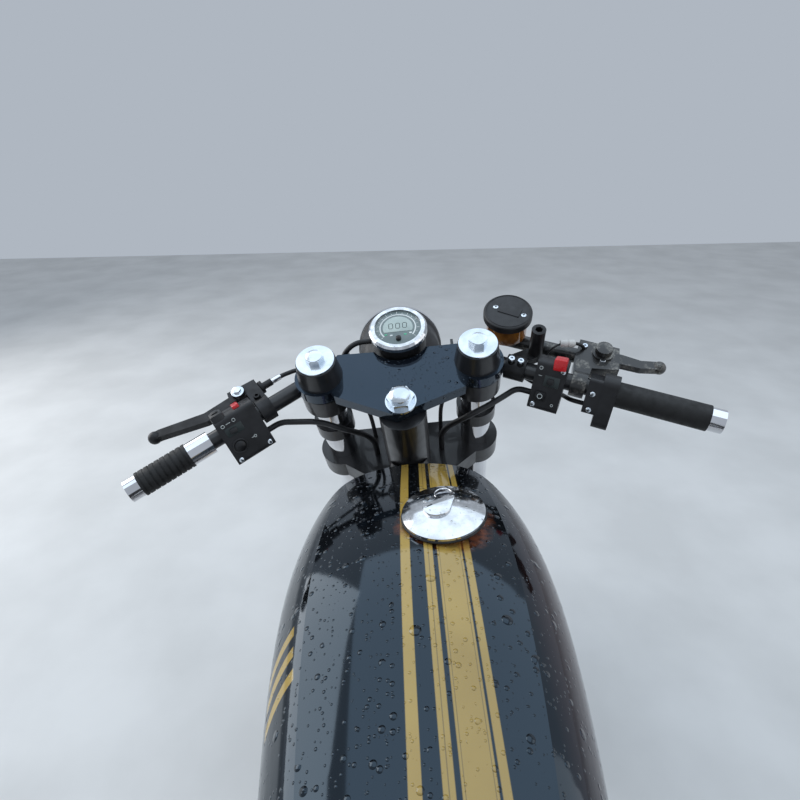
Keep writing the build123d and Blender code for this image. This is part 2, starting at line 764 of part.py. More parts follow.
# Seat: subframe hoop, tail unit and pad
seat_front, seat_back = stem_y - 518, stem_y - 912
seat_pan_z = subframe_height + frame_tube_radius
seat_pan_top = seat_pan_z + 12
pad_height = 42
tail_back = seat_back - 250
hip_y, curve_y = seat_front - 134, seat_back - 30
shock_top = Vector(0, seat_back + 30, subframe_height)
shock_x = 125
seat_tube_radius = 9
battery_bottom = subframe_height - 122
hoop_back = seat_back - 110
with BuildPart() as seat_subframe:
    hoop = [
        (62, upright_y, subframe_height),
        (78, upright_y - 90, subframe_height),
        (78, hoop_back, subframe_height),
        (-78, hoop_back, subframe_height),
        (-78, upright_y - 90, subframe_height),
        (-62, upright_y, subframe_height),
    ]
    add(bent_tube(hoop, subframe_radius, (60, 60, 60, 60)))
    for y in (upright_y - 100, upright_y - 220):
        add(rod((-78, y, subframe_height), (78, y, subframe_height), seat_tube_radius))
    for side in sides:
        add(rod((side * rail_half, upright_y, 440), (side * 78, seat_back + 50, subframe_height), 10))
        add(rod((side * 78, shock_top.Y, shock_top.Z), (side * 142, shock_top.Y, shock_top.Z), 8))
        cope = rod((side * rail_half, upright_y, 400), (side * rail_half, upright_y, 473), frame_tube_radius)
        add(cope, mode=Mode.SUBTRACT)
        cope_end = (side * 60, upright_y, subframe_height)
        cope = rod((side * rail_half, upright_y, 480), cope_end, frame_tube_radius)
        add(cope, mode=Mode.SUBTRACT)
    cope = rod((-90, upright_y, subframe_height), (90, upright_y, subframe_height), frame_tube_radius)
    add(cope, mode=Mode.SUBTRACT)
    with BuildSketch(Plane.XY.offset(subframe_height - 20)):
        with Locations((0, upright_y + 30)):
            Rectangle(200, 60)
    extrude(amount=40, mode=Mode.SUBTRACT)

tail_half = 102
tail_lamp_z = seat_pan_top + 36
tail_lamp_radius = 28
lamp_seat_y = tail_back + 34
with BuildPart() as tail_cowl:
    with BuildSketch(Plane.XY.offset(seat_pan_z)):
        with BuildLine():
            Polyline((-84, seat_front), (-tail_half, hip_y), (-tail_half, curve_y))
            ThreePointArc((-tail_half, curve_y), (0, tail_back), (tail_half, curve_y))
            Polyline((tail_half, curve_y), (tail_half, hip_y), (84, seat_front), (-84, seat_front))
        make_face()
    extrude(amount=12)
    with BuildSketch(Plane.XY.offset(seat_pan_top)):
        with BuildLine():
            Line((-tail_half, seat_back), (-tail_half, curve_y))
            ThreePointArc((-tail_half, curve_y), (0, tail_back), (tail_half, curve_y))
            Line((tail_half, curve_y), (tail_half, seat_back))
            Line((tail_half, seat_back), (-tail_half, seat_back))
        make_face()
    extrude(amount=90, taper=22)
    lamp_seat = Plane(origin=(0, lamp_seat_y, tail_lamp_z), x_dir=(-1, 0, 0), z_dir=(0, -1, 0))
    with BuildSketch(lamp_seat):
        Circle(tail_lamp_radius + 0.5)
    extrude(amount=60, mode=Mode.SUBTRACT)

with BuildPart() as seat_pad:
    with BuildSketch(Plane.XY.offset(seat_pan_top)):
        with BuildLine():
            Polyline(
                (-82, seat_front), (-tail_half + 4, hip_y), (-tail_half + 4, seat_back + 0.5),
                (tail_half - 4, seat_back + 0.5), (tail_half - 4, hip_y), (82, seat_front),
                close=True,
            )
        make_face()
    extrude(amount=pad_height, taper=8)

with BuildPart() as tail_lamp:
    with BuildSketch(lamp_seat):
        Circle(tail_lamp_radius)
    extrude(amount=34)

with BuildPart() as battery_box:
    with BuildSketch(Plane.XY.offset(battery_bottom)):
        with Locations((0, upright_y - 160)):
            RectangleRounded(104, 140, 10)
    extrude(amount=subframe_height - seat_tube_radius - battery_bottom)

# Rear shock absorbers: eyes on studs, damper body and spring
shock_bottom = Vector(0, rear_y + 48, tyre_radius + 42)
spring_radius, shroud_radius = 26, 20
spring_start, spring_inset, coil_pitch = 60, 24, 14
with BuildPart() as rear_shocks:
    for side in sides:
        x = side * shock_x
        top = Vector(x, shock_top.Y, shock_top.Z)
        bottom = Vector(x, shock_bottom.Y, shock_bottom.Z)
        line = (top - bottom).normalized()
        length = (top - bottom).length
        add(rod(bottom + line * 10, bottom + line * (length - 10), 9))
        add(rod(bottom + line * 22, bottom + line * 120, 19))
        add(rod(bottom + line * spring_start, bottom + line * (length - spring_inset), shroud_radius))
        coils = int((length - spring_inset - spring_start) / coil_pitch)
        for coil in range(coils):
            low = bottom + line * (spring_start + coil * coil_pitch)
            add(rod(low, low + line * coil_pitch / 2, spring_radius))
        for eye in (top, bottom):
            add(rod((x - 12, eye.Y, eye.Z), (x + 12, eye.Y, eye.Z), 14))
    for side in sides:
        x = side * shock_x
        for eye in (shock_top, shock_bottom):
            with BuildSketch(across(x - 13, eye.Y, eye.Z)):
                Circle(8)
            extrude(amount=26, mode=Mode.SUBTRACT)

with BuildPart() as shock_studs:
    for side in sides:
        stud_start = (side * (arm_half + 6), shock_bottom.Y, shock_bottom.Z)
        add(rod(stud_start, (side * 142, shock_bottom.Y, shock_bottom.Z), 8))

# Foot rests: a plate on each upright with its peg
with BuildPart() as foot_rests:
    for side in sides:
        with BuildSketch(across(side * (rail_half + frame_tube_radius), upright_y, pivot_height - 15)):
            RectangleRounded(60, 90, 12)
        extrude(amount=side * 8)
        peg_start = rail_half + frame_tube_radius + 8
        peg_y, peg_z = upright_y - 15, pivot_height + 7
        add(rod((side * peg_start, peg_y, peg_z), (side * (peg_start + 95), peg_y, peg_z), 11))

# Top yoke: a flat plate with a point behind the stem and a hollow in front for the gauge
gauge_x, gauge_forward, gauge_radius = 4, 106, 38
leg_ring = 33
with BuildPart() as top_yoke:
    with BuildSketch(steering.offset(-top_yoke_thickness)):
        with BuildLine():
            Polyline(
                (-11, -17), (-82, 19), (-100, 54), (-78, 86), (-28, 84), (36, 84), (78, 84),
                (100, 54), (80, 14), (-6, -18), close=True,
            )
        make_face()
        with Locations((-fork_spacing / 2, fork_offset), (fork_spacing / 2, fork_offset)):
            Circle(leg_ring)
        with Locations((-fork_spacing / 2, fork_offset), (fork_spacing / 2, fork_offset)):
            Circle(fork_tube_radius, mode=Mode.SUBTRACT)
        with Locations((gauge_x, gauge_forward)):
            Circle(gauge_radius + 2, mode=Mode.SUBTRACT)
    extrude(amount=top_yoke_thickness)

# Fork legs: tapered cups on the yoke, closed by wide washers under crowned bolts
cup_height = 28
cup_radius, cup_top_radius = 29, 25
cup_taper = degrees(atan((cup_radius - cup_top_radius) / cup_height))
washer_radius, washer_height = 23.8, 3
with BuildPart() as fork_top_cups:
    for side in sides:
        with BuildSketch(steering):
            with Locations((side * fork_spacing / 2, fork_offset)):
                Circle(cup_radius)
        extrude(amount=cup_height, taper=cup_taper)
        with BuildSketch(steering):
            with Locations((side * fork_spacing / 2, fork_offset)):
                Circle(fork_tube_radius)
        extrude(amount=cup_height, mode=Mode.SUBTRACT)


def steering_disc(x, forward, low, radius, rim, tip):
    """A disc on the steering frame with a straight rim and a domed top"""
    dome_height, dome_radius = dome(low + rim, radius, low + tip)
    with BuildPart() as made:
        turning = Plane(origin=steer(x, forward, 0), x_dir=steering.x_dir, z_dir=-steering.y_dir)
        with BuildSketch(turning):
            with BuildLine():
                Polyline((0, low + tip), (0, low), (radius, low), (radius, low + rim))
                ThreePointArc((radius, low + rim), (dome_radius, dome_height), (0, low + tip))
            make_face()
        revolve(axis=Axis(steer(x, forward, 0), steering.z_dir))
    return made.part


# Columns: washer radius and height, hexagon radius and height, crown radius, rim and tip
leg_bolt = (washer_radius, washer_height, 11.5, 7, 9.8, 1, 3)
stem_bolt = (19, 3, 17, 8, 12.8, 5, 9)
with BuildPart() as yoke_bolts:
    for x, forward, low, bolt in (
        (-fork_spacing / 2, fork_offset, cup_height, leg_bolt),
        (fork_spacing / 2, fork_offset, cup_height, leg_bolt),
        (0, 0, 0, stem_bolt),
    ):
        washer, washer_rise, hexagon, hexagon_rise, crown, crown_rim, crown_tip = bolt
        with BuildSketch(steering.offset(low)):
            with Locations((x, forward)):
                Circle(washer)
        extrude(amount=washer_rise)
        with BuildSketch(steering.offset(low + washer_rise)):
            with Locations((x, forward)):
                RegularPolygon(radius=hexagon, side_count=6)
        extrude(amount=hexagon_rise)
        add(steering_disc(x, forward, low + washer_rise + hexagon_rise, crown, crown_rim, crown_tip))

with BuildPart() as fork_tubes:
    for side in sides:
        with BuildSketch(steering.offset(tube_bottom)):
            with Locations((side * fork_spacing / 2, fork_offset)):
                Circle(fork_tube_radius)
        extrude(amount=cup_height - tube_bottom)

with BuildPart() as lower_yoke:
    with BuildSketch(steering.offset(lower_yoke_top - lower_yoke_thickness)):
        with BuildLine():
            Polyline((-32, -24), (-110, 30), (-110, 80), (110, 80), (110, 30), (32, -24), close=True)
        make_face()
        with Locations((-fork_spacing / 2, fork_offset), (fork_spacing / 2, fork_offset)):
            Circle(leg_ring)
        with Locations((-fork_spacing / 2, fork_offset), (fork_spacing / 2, fork_offset)):
            Circle(fork_tube_radius, mode=Mode.SUBTRACT)
    extrude(amount=lower_yoke_thickness)
    with BuildSketch(steering.offset(lower_yoke_top)):
        Circle(stem_radius)
    extrude(amount=-top_yoke_thickness - lower_yoke_top)

caliper_x = 61
caliper_half = 23
with BuildPart() as fork_sliders:
    for side in sides:
        leg = side * fork_spacing / 2
        with BuildSketch(steering.offset(slider_bottom)):
            with Locations((leg, fork_offset)):
                Circle(slider_radius)
        extrude(amount=slider_top - slider_bottom)
        lug_x = side * (caliper_x + caliper_half + 6)
        with BuildSketch(steering.offset(-leg_length + 55)):
            with Locations((lug_x, fork_offset - 45)):
                Rectangle(12, 60)
        extrude(amount=70)
        with BuildSketch(steering.offset(slider_top - 18)):
            with Locations((side * 74, fork_offset)):
                Rectangle(16, 20)
        extrude(amount=18)
    for side in sides:
        with BuildSketch(steering.offset(tube_bottom - 5)):
            with Locations((side * fork_spacing / 2, fork_offset)):
                Circle(fork_tube_radius + 0.1)
        extrude(amount=-tube_bottom, mode=Mode.SUBTRACT)
    with BuildSketch(across(-fork_spacing, front_y, tyre_radius)):
        Circle(axle_radius)
    extrude(amount=2 * fork_spacing, mode=Mode.SUBTRACT)

axle_bore, axle_bore_depth = 6, 60
front_axle_half = fork_spacing / 2 + slider_radius + 8
slider_inner = fork_spacing / 2 - slider_radius
with BuildPart() as front_axle:
    axle_left, axle_right = (-front_axle_half, front_y, tyre_radius), (front_axle_half, front_y, tyre_radius)
    add(rod(axle_left, axle_right, axle_radius))
    for side in sides:
        spacer_start = (side * (disc_x + 0.7), front_y, tyre_radius)
        add(rod(spacer_start, (side * slider_inner, front_y, tyre_radius), 13.5))
    for side in sides:
        with BuildSketch(across(side * front_axle_half, front_y, tyre_radius)):
            Circle(axle_bore)
        extrude(amount=-side * axle_bore_depth, mode=Mode.SUBTRACT)

with BuildPart() as front_calipers:
    for side in sides:
        with BuildSketch(steering.offset(-leg_length + 45)):
            with Locations((side * caliper_x, fork_offset - 78)):
                RectangleRounded(2 * caliper_half, 62, 8)
        extrude(amount=90)
        with BuildSketch(across(side * disc_x - 4.5, front_y, tyre_radius)):
            Circle(disc_radius + 4)
        extrude(amount=9, mode=Mode.SUBTRACT)

# Front mudguard: a short crowned blade on brackets to the sliders
guard_radius = tyre_radius + 12
guard_half = 56
guard_wall = 2.5
guard_start, guard_sweep = -25, 100
guard_edge = guard_radius - 12
start_y, start_z = -sin(radians(guard_start)), cos(radians(guard_start))
guard_plane = Plane(
    origin=(0, front_y, tyre_radius), x_dir=(1, 0, 0), z_dir=(0, -start_z, start_y)
)
with BuildPart() as front_mudguard:
    with BuildSketch(guard_plane):
        with BuildLine():
            ThreePointArc(
                (-guard_half, guard_edge), (0, guard_radius + guard_wall), (guard_half, guard_edge)
            )
            Line((guard_half, guard_edge), (guard_half - guard_wall, guard_edge))
            ThreePointArc(
                (guard_half - guard_wall, guard_edge),
                (0, guard_radius),
                (guard_wall - guard_half, guard_edge),
            )
            Line((guard_wall - guard_half, guard_edge), (-guard_half, guard_edge))
        make_face()
    revolve(axis=Axis((0, front_y, tyre_radius), (1, 0, 0)), revolution_arc=guard_sweep)
    for side in sides:
        with BuildSketch(steering.offset(slider_top - 18)):
            with Locations((side * (guard_half + 0.5), fork_offset)):
                Rectangle(3, 40)
        extrude(amount=-leg_length + guard_radius - 9 - slider_top + 18)
        with BuildSketch(steering.offset(slider_top - 16)):
            with Locations((side * 61.75, fork_offset)):
                Rectangle(8.5, 16)
        extrude(amount=14)

# Headlamp: bucket with a hollow for the reflector, held by arms from the fork tubes
lamp_y, lamp_z, lamp_radius = stem_y + 190, yoke_height - 18, 62
lamp_rim, glass_radius = lamp_radius + 3, lamp_radius - 8
lamp_stud_end = 78
lamp_plane = Plane(origin=(0, lamp_y, lamp_z), x_dir=(0, 1, 0), z_dir=(1, 0, 0))
with BuildPart() as headlamp_shell:
    with BuildSketch(lamp_plane):
        with BuildLine():
            Line((-lamp_radius, 0), (-4, 0))
            ThreePointArc((-4, 0), dome(36, glass_radius, -4), (36, glass_radius))
            Line((36, glass_radius), (40, lamp_rim))
            Line((40, lamp_rim), (30, lamp_rim))
            Line((30, lamp_rim), (26, lamp_radius))
            Line((26, lamp_radius), (-6, lamp_radius))
            ThreePointArc((-6, lamp_radius), dome(-6, lamp_radius, -lamp_radius), (-lamp_radius, 0))
        make_face()
    revolve(axis=Axis((0, lamp_y, lamp_z), (0, 1, 0)))
    for side in sides:
        add(rod((side * (lamp_radius - 4), lamp_y, lamp_z), (side * lamp_stud_end, lamp_y, lamp_z), 8))

with BuildPart() as headlamp_glass:
    with BuildSketch(lamp_plane):
        with BuildLine():
            Line((36.5, 0), (36.5, glass_radius - 0.5))
            ThreePointArc((36.5, glass_radius - 0.5), dome(36.5, glass_radius - 0.5, 50), (50, 0))
            Line((50, 0), (36.5, 0))
        make_face()
    revolve(axis=Axis((0, lamp_y, lamp_z), (0, 1, 0)))

lamp_local = steering.to_local_coords(Vector(0, lamp_y, lamp_z))
bracket_half_height = 12
bracket_wall = 4
bracket_length = lamp_local.Y - fork_offset + 14
with BuildPart() as headlamp_brackets:
    for side in sides:
        with BuildSketch(steering.offset(lamp_local.Z - bracket_half_height)):
            with Locations((side * fork_spacing / 2, fork_offset)):
                Circle(27)
            with Locations((side * (lamp_stud_end + bracket_wall / 2), fork_offset + bracket_length / 2)):
                Rectangle(bracket_wall, bracket_length)
        extrude(amount=2 * bracket_half_height)
        hole_plane = Plane(
            origin=steer(side * lamp_stud_end, fork_offset, lamp_local.Z), x_dir=steering.y_dir, z_dir=(1, 0, 0)
        )
        with BuildSketch(hole_plane):
            with Locations((44, 0), (66, 0), (88, 0)):
                Circle(6)
        extrude(amount=2 * side * bracket_wall, mode=Mode.SUBTRACT)
    with BuildSketch(steering.offset(lamp_local.Z - 20)):
        with Locations((-fork_spacing / 2, fork_offset), (fork_spacing / 2, fork_offset)):
            Circle(fork_tube_radius)
    extrude(amount=40, mode=Mode.SUBTRACT)

# Gauge on its bracket: a deep body, a bezel round a sunk dial, and a knob low on the dial
gauge_bottom, gauge_top = -16, 20
bezel_height, dial_radius, dial_sink = 8, 30.5, 2.5
knob_back, knob_radius = 20, 3.4
with BuildPart() as gauge:
    with BuildSketch(steering.offset(gauge_bottom)):
        with Locations((gauge_x, gauge_forward)):
            Circle(gauge_radius - 3)
    extrude(amount=gauge_top - gauge_bottom - bezel_height)
    with BuildSketch(steering.offset(gauge_top - bezel_height)):
        with Locations((gauge_x, gauge_forward)):
            Circle(gauge_radius)
    extrude(amount=bezel_height - 3)
    with BuildSketch(steering.offset(gauge_top - 3)):
        with Locations((gauge_x, gauge_forward)):
            Circle(gauge_radius)
    extrude(amount=3, taper=40)
    with BuildSketch(steering.offset(gauge_top)):
        with Locations((gauge_x, gauge_forward)):
            Circle(dial_radius)
    extrude(amount=-dial_sink, mode=Mode.SUBTRACT)
    knob_forward = gauge_forward - knob_back
    add(steering_disc(gauge_x, knob_forward, gauge_top - dial_sink, knob_radius, 4, 5.5))

gauge_plate = 4
with BuildPart() as gauge_bracket:
    with BuildSketch(steering.offset(gauge_bottom - gauge_plate)):
        with Locations((gauge_x, gauge_forward - 21)):
            RectangleRounded(34, 64, 8)
    extrude(amount=gauge_plate)

# Clip-on handlebars: a clamp under the yoke round each fork tube and a bar swept back
bar_radius = 11
bar_height = -35
bar_start_forward = 88
bar_length = {-1: 268, 1: 292}
bar_end_length = 16
clamp_half_height = 15
sweep_back = {-1: 33, 1: 27}


def bar_place(side, along, forward=0):
    """Across and forward of a place beside a handlebar, in the yoke's plane"""
    angle = radians(sweep_back[side])
    x = side * (fork_spacing / 2 + along * cos(angle) + forward * sin(angle))
    return Vector(x, bar_start_forward - along * sin(angle) + forward * cos(angle))


def bar_point(side, along, forward=0, up=0):
    """A point by its distance along a handlebar, ahead of it and above it"""
    place = bar_place(side, along, forward)
    return steer(place.X, place.Y, bar_height + up)


with BuildPart() as handlebars:
    for side in sides:
        with BuildSketch(steering.offset(bar_height - clamp_half_height)):
            with Locations((side * fork_spacing / 2, fork_offset)):
                Circle(31)
        extrude(amount=2 * clamp_half_height)
        add(rod(bar_point(side, -12), bar_point(side, bar_length[side]), bar_radius))
    with BuildSketch(steering.offset(bar_height - 30)):
        with Locations((-fork_spacing / 2, fork_offset), (fork_spacing / 2, fork_offset)):
            Circle(fork_tube_radius)
    extrude(amount=60, mode=Mode.SUBTRACT)

grip_radius = 16
bar_end_bore = 6
left_grip_start, left_collar_start, right_grip_start = 203, 173, 187
with BuildPart() as grip_left:
    add(rod(bar_point(-1, left_grip_start), bar_point(-1, bar_length[-1]), grip_radius, bar_radius))
    for rib in range(9):
        rib_start = left_grip_start + 4 + 7 * rib
        ring = rod(bar_point(-1, rib_start), bar_point(-1, rib_start + 2), grip_radius + 1, grip_radius - 1)
        add(ring, mode=Mode.SUBTRACT)
with BuildPart() as grip_collar:
    add(rod(bar_point(-1, left_collar_start), bar_point(-1, left_grip_start), 15, bar_radius))
with BuildPart() as grip_right:
    add(rod(bar_point(1, right_grip_start), bar_point(1, bar_length[1]), grip_radius, bar_radius))
with BuildPart() as bar_ends:
    for side in sides:
        end_start = bar_point(side, bar_length[side])
        end_tip = bar_point(side, bar_length[side] + bar_end_length)
        add(rod(end_start, end_tip, 14.5, bar_end_bore))

# Control housings: blocks clamped round a bar, leaning back so that their faces look at the rider
housing_lean = radians(35)
seam_width, seam_depth = 0.8, 1.2


def housing(side, start, end, low, high, near, far, corner):
    """A leaning block round a bar: low to high along its lean, near to far across it"""
    origin = bar_point(side, start)
    ahead = bar_point(side, start, 1) - origin
    along = bar_point(side, end) - origin
    upward = steering.z_dir * cos(housing_lean) + ahead * sin(housing_lean)
    with BuildPart() as made:
        with BuildSketch(Plane(origin=origin, x_dir=upward, z_dir=along)):
            with Locations(((low + high) / 2, side * (near + far) / 2)):
                RectangleRounded(high - low, far - near, corner)
            Circle(bar_radius, mode=Mode.SUBTRACT)
        extrude(amount=end - start)
    return made.part


def seam(side, start, end, low, high):
    """A groove round a block where its two halves meet, to be cut from it"""
    origin = bar_point(side, start - 1)
    ahead = bar_point(side, start, 1) - bar_point(side, start)
    along = bar_point(side, end) - origin
    upward = steering.z_dir * cos(housing_lean) + ahead * sin(housing_lean)
    with BuildPart() as made:
        with BuildSketch(Plane(origin=origin, x_dir=upward, z_dir=along)):
            with Locations((high, 0), (low, 0)):
                Rectangle(2 * seam_depth, seam_width)
        extrude(amount=end - start + 2)
    return made.part


with BuildPart() as switch_left:
    add(housing(-1, 106, 160, -42, 24, -16, 18, 6))
    add(seam(-1, 106, 160, -42, 24), mode=Mode.SUBTRACT)
with BuildPart() as switch_right:
    add(housing(1, 86, 124, -42, 24, -16, 18, 6))
    add(seam(1, 86, 124, -42, 24), mode=Mode.SUBTRACT)
with BuildPart() as throttle_housing:
    add(housing(1, 152, 168, -30, 16, -15, 16, 4))
    add(housing(1, 168, right_grip_start, -48, 22, -15, 15, 12))

# Columns: along the bar, ahead of it, half width
lever_thickness = 10
lever_ball_radius = 8.5
perch_bottom, perch_top = bar_height - 9, bar_height + 11


def blade(side, stations):
    """A flat lever with a ball at its tip"""
    places = [bar_place(side, along, ahead) for along, ahead, half in stations]
    halves = [half for along, ahead, half in stations]
    line = (places[-1] - places[0]).normalized()
    normal = Vector(-line.Y, line.X)
    outline = [place + normal * half for place, half in zip(places, halves)]
    outline += [place - normal * half for place, half in reversed(list(zip(places, halves)))]
    with BuildPart() as made:
        with BuildSketch(steering.offset(bar_height - lever_thickness / 2)):
            with BuildLine():
                Polyline(*outline, close=True)
            make_face()
        extrude(amount=lever_thickness)
        tip = bar_point(side, *stations[-1][:2])
        with BuildSketch(Plane(origin=tip, x_dir=steering.x_dir, z_dir=-steering.y_dir)):
            with BuildLine():
                ThreePointArc((0, -lever_ball_radius), (lever_ball_radius, 0), (0, lever_ball_radius))
                Line((0, lever_ball_radius), (0, -lever_ball_radius))
            make_face()
        revolve(axis=Axis(tip, steering.z_dir))
    return made.part


def perch(side, clamp_at, outline):
    """A lever's cast perch: a plate ahead of the bar and a clamp round it"""
    with BuildPart() as made:
        add(rod(bar_point(side, clamp_at - 9), bar_point(side, clamp_at + 9), 16.5))
        with BuildSketch(steering.offset(perch_bottom)):
            with BuildLine():
                Polyline(*(bar_place(side, along, ahead) for along, ahead in outline), close=True)
            make_face()
        extrude(amount=perch_top - perch_bottom)
        bar = rod(bar_point(side, clamp_at - 60), bar_point(side, clamp_at + 60), bar_radius)
        add(bar, mode=Mode.SUBTRACT)
    return made.part


clutch_clamp, brake_clamp = 94, 140
clutch_adjuster_forward = 36
clutch_perch = ((85, 0), (85, 46), (124, 48), (128, 29), (104, 29), (104, 0))
brake_perch = ((131, 0), (126, 30), (126, 66), (176, 66), (182, 30), (150, 22), (149, 0))
clutch_stations = ((112, 37, 9), (163, 36, 7.5), (221, 53, 6), (229, 54, 5.5))
brake_stations = ((158, 50, 10), (182, 54, 8), (206, 53, 6.5), (228, 59, 6))
with BuildPart() as clutch_lever:
    add(perch(-1, clutch_clamp, clutch_perch))
    add(blade(-1, clutch_stations))
    add(rod(bar_point(-1, 86, clutch_adjuster_forward), bar_point(-1, 66, clutch_adjuster_forward), 5))
    with BuildSketch(steering.offset(perch_top)):
        with Locations(bar_place(-1, 112, 37)):
            Circle(9)
    extrude(amount=4)

# Brake lever with its pump, which carries the fluid pot, and a knurled reach knob
reservoir_x, reservoir_forward, reservoir_radius = 150, 122, 31
pot_bottom = -28
pump_drop, pump_forward, pump_start = 8, 53, 16
with BuildPart() as brake_lever:
    add(perch(1, brake_clamp, brake_perch))
    add(blade(1, brake_stations))
    pump_end = bar_point(1, 128, pump_forward, -pump_drop)
    add(rod(bar_point(1, pump_start, pump_forward, -pump_drop), pump_end, 10))
    with BuildSketch(steering.offset(bar_height - pump_drop)):
        with Locations((reservoir_x, reservoir_forward)):
            Circle(12)
    extrude(amount=pot_bottom - bar_height + pump_drop)
    knob = bar_place(1, 158, 50)
    add(steering_disc(knob.X, knob.Y, perch_top, 13, 3, 4))
    add(steering_disc(knob.X, knob.Y, perch_top + 3, 10.5, 9, 11))
    with BuildSketch(steering.offset(perch_top + 5)):
        with Locations(knob):
            with PolarLocations(10.8, 24):
                Circle(0.8)
    extrude(amount=12, mode=Mode.SUBTRACT)

# Mirror post and its two-bolt clamp, inboard of the right switch
post_at, post_forward, post_radius, post_height = 76, 30, 9, 49
post_clamp_start, post_clamp_end = 46, 72
post_web = ((47, 8), (68, 8), (82, 24), (82, 36), (70, 38), (47, 15))
with BuildPart() as mirror_post:
    add(rod(bar_point(1, post_clamp_start), bar_point(1, post_clamp_end), 16))
    with BuildSketch(steering.offset(bar_height - 6)):
        with BuildLine():
            Polyline(*(bar_place(1, along, ahead) for along, ahead in post_web), close=True)
        make_face()
    extrude(amount=12)
    post = bar_place(1, post_at, post_forward)
    with BuildSketch(steering.offset(bar_height - 6)):
        with Locations(post):
            Circle(post_radius)
    extrude(amount=post_height + 6)
    with BuildSketch(steering.offset(bar_height + post_height)):
        with Locations(post):
            RegularPolygon(radius=5, side_count=6)
    extrude(amount=-20, mode=Mode.SUBTRACT)
    for along in (post_clamp_start + 7, post_clamp_end - 7):
        with BuildSketch(steering.offset(bar_height + 10)):
            with Locations(bar_place(1, along, -4)):
                Circle(4.5)
        extrude(amount=10)
    bar = rod(bar_point(1, post_clamp_start - 10), bar_point(1, post_clamp_end + 10), bar_radius)
    add(bar, mode=Mode.SUBTRACT)

with BuildPart() as brake_reservoir:
    with BuildSketch(steering.offset(pot_bottom)):
        with Locations((reservoir_x, reservoir_forward)):
            Circle(reservoir_radius - 4)
    extrude(amount=-pot_bottom)
with BuildPart() as reservoir_lid:
    with BuildSketch(steering):
        with Locations((reservoir_x, reservoir_forward)):
            Circle(reservoir_radius + 1)
    extrude(amount=10)
    edges_on_top = reservoir_lid.edges().sort_by(Axis(steer(0, 0, 0), steering.z_dir))[-1]
    fillet(edges_on_top, 2.5)

# Cables and hoses of the fork. Each leaves its housing square to it and ends in the lower yoke.
cable_radius, wire_radius, hose_radius = 3, 4, 4.5
clutch_exit, throttle_start = 66, 152
wire_starts = {-1: 106, 1: 86}
with BuildPart() as control_cables:
    clutch_route = (
        bar_point(-1, clutch_exit, clutch_adjuster_forward),
        bar_point(-1, clutch_exit - 16, clutch_adjuster_forward),
        bar_point(-1, 24, 30), steer(-94, 110, -76), steer(-66, 92, -86),
        steer(-52, 76, -128), steer(-50, 66, lower_yoke_top + 20), steer(-50, 66, lower_yoke_top),
    )
    throttle_route = (
        bar_point(1, throttle_start, -10, -22), bar_point(1, throttle_start - 16, -10, -22),
        bar_point(1, 120, 10, -41), bar_point(1, 80, 14, -38), bar_point(1, 40, 30, -34),
        steer(94, 110, -76), steer(66, 92, -86),
        steer(52, 76, -128), steer(50, 66, lower_yoke_top + 20), steer(50, 66, lower_yoke_top),
    )
    add(cable(clutch_route, cable_radius))
    add(cable(throttle_route, cable_radius))
    for side in sides:
        wire_route = (
            bar_point(side, wire_starts[side], -13, -24), bar_point(side, wire_starts[side] - 20, -13, -24),
            bar_point(side, 44, -44, -27), steer(side * 82, 16, -70), steer(side * 56, 24, -100),
            steer(side * 48, 34, lower_yoke_top + 34), steer(side * 48, 34, lower_yoke_top),
        )
        add(cable(wire_route, wire_radius))
    dial_route = (
        steer(-80, 80, lamp_local.Z + bracket_half_height), steer(-80, 80, lamp_local.Z + 32),
        steer(-76, 92, -40), steer(-74, 97, -14), steer(-56, 106, -2),
        steer(gauge_x - gauge_radius + 3.1, gauge_forward, -2),
    )
    add(cable(dial_route, cable_radius + 0.5))
splitter_bottom, splitter_top = lower_yoke_top - lower_yoke_thickness + 4, lower_yoke_top - 4
yoke_front = 80
caliper_top = -leg_length + 135
with BuildPart() as brake_hoses:
    with BuildSketch(steering.offset(splitter_bottom)):
        with Locations((0, yoke_front + 9)):
            RectangleRounded(40, 18, 3)
    extrude(amount=splitter_top - splitter_bottom)
    pump_route = (
        bar_point(1, pump_start, pump_forward, -pump_drop), bar_point(1, 0, pump_forward, -pump_drop),
        steer(98, 128, -62), steer(66, 106, -82), steer(30, 94, -120),
        steer(9, yoke_front + 9, -150), steer(9, yoke_front + 9, splitter_top),
    )
    add(cable(pump_route, hose_radius))
    for side in sides:
        leg_route = (
            steer(side * 10, yoke_front + 9, splitter_bottom), steer(side * 10, yoke_front + 9, splitter_bottom - 22),
            steer(side * 48, 92, -256), steer(side * 66, 56, -314), steer(side * 88, 14, -374),
            steer(side * 100, 10, -450), steer(side * 98, 6, -520), steer(side * 74, -24, caliper_top + 40),
            steer(side * 74, -24, caliper_top),
        )
        add(cable(leg_route, hose_radius))

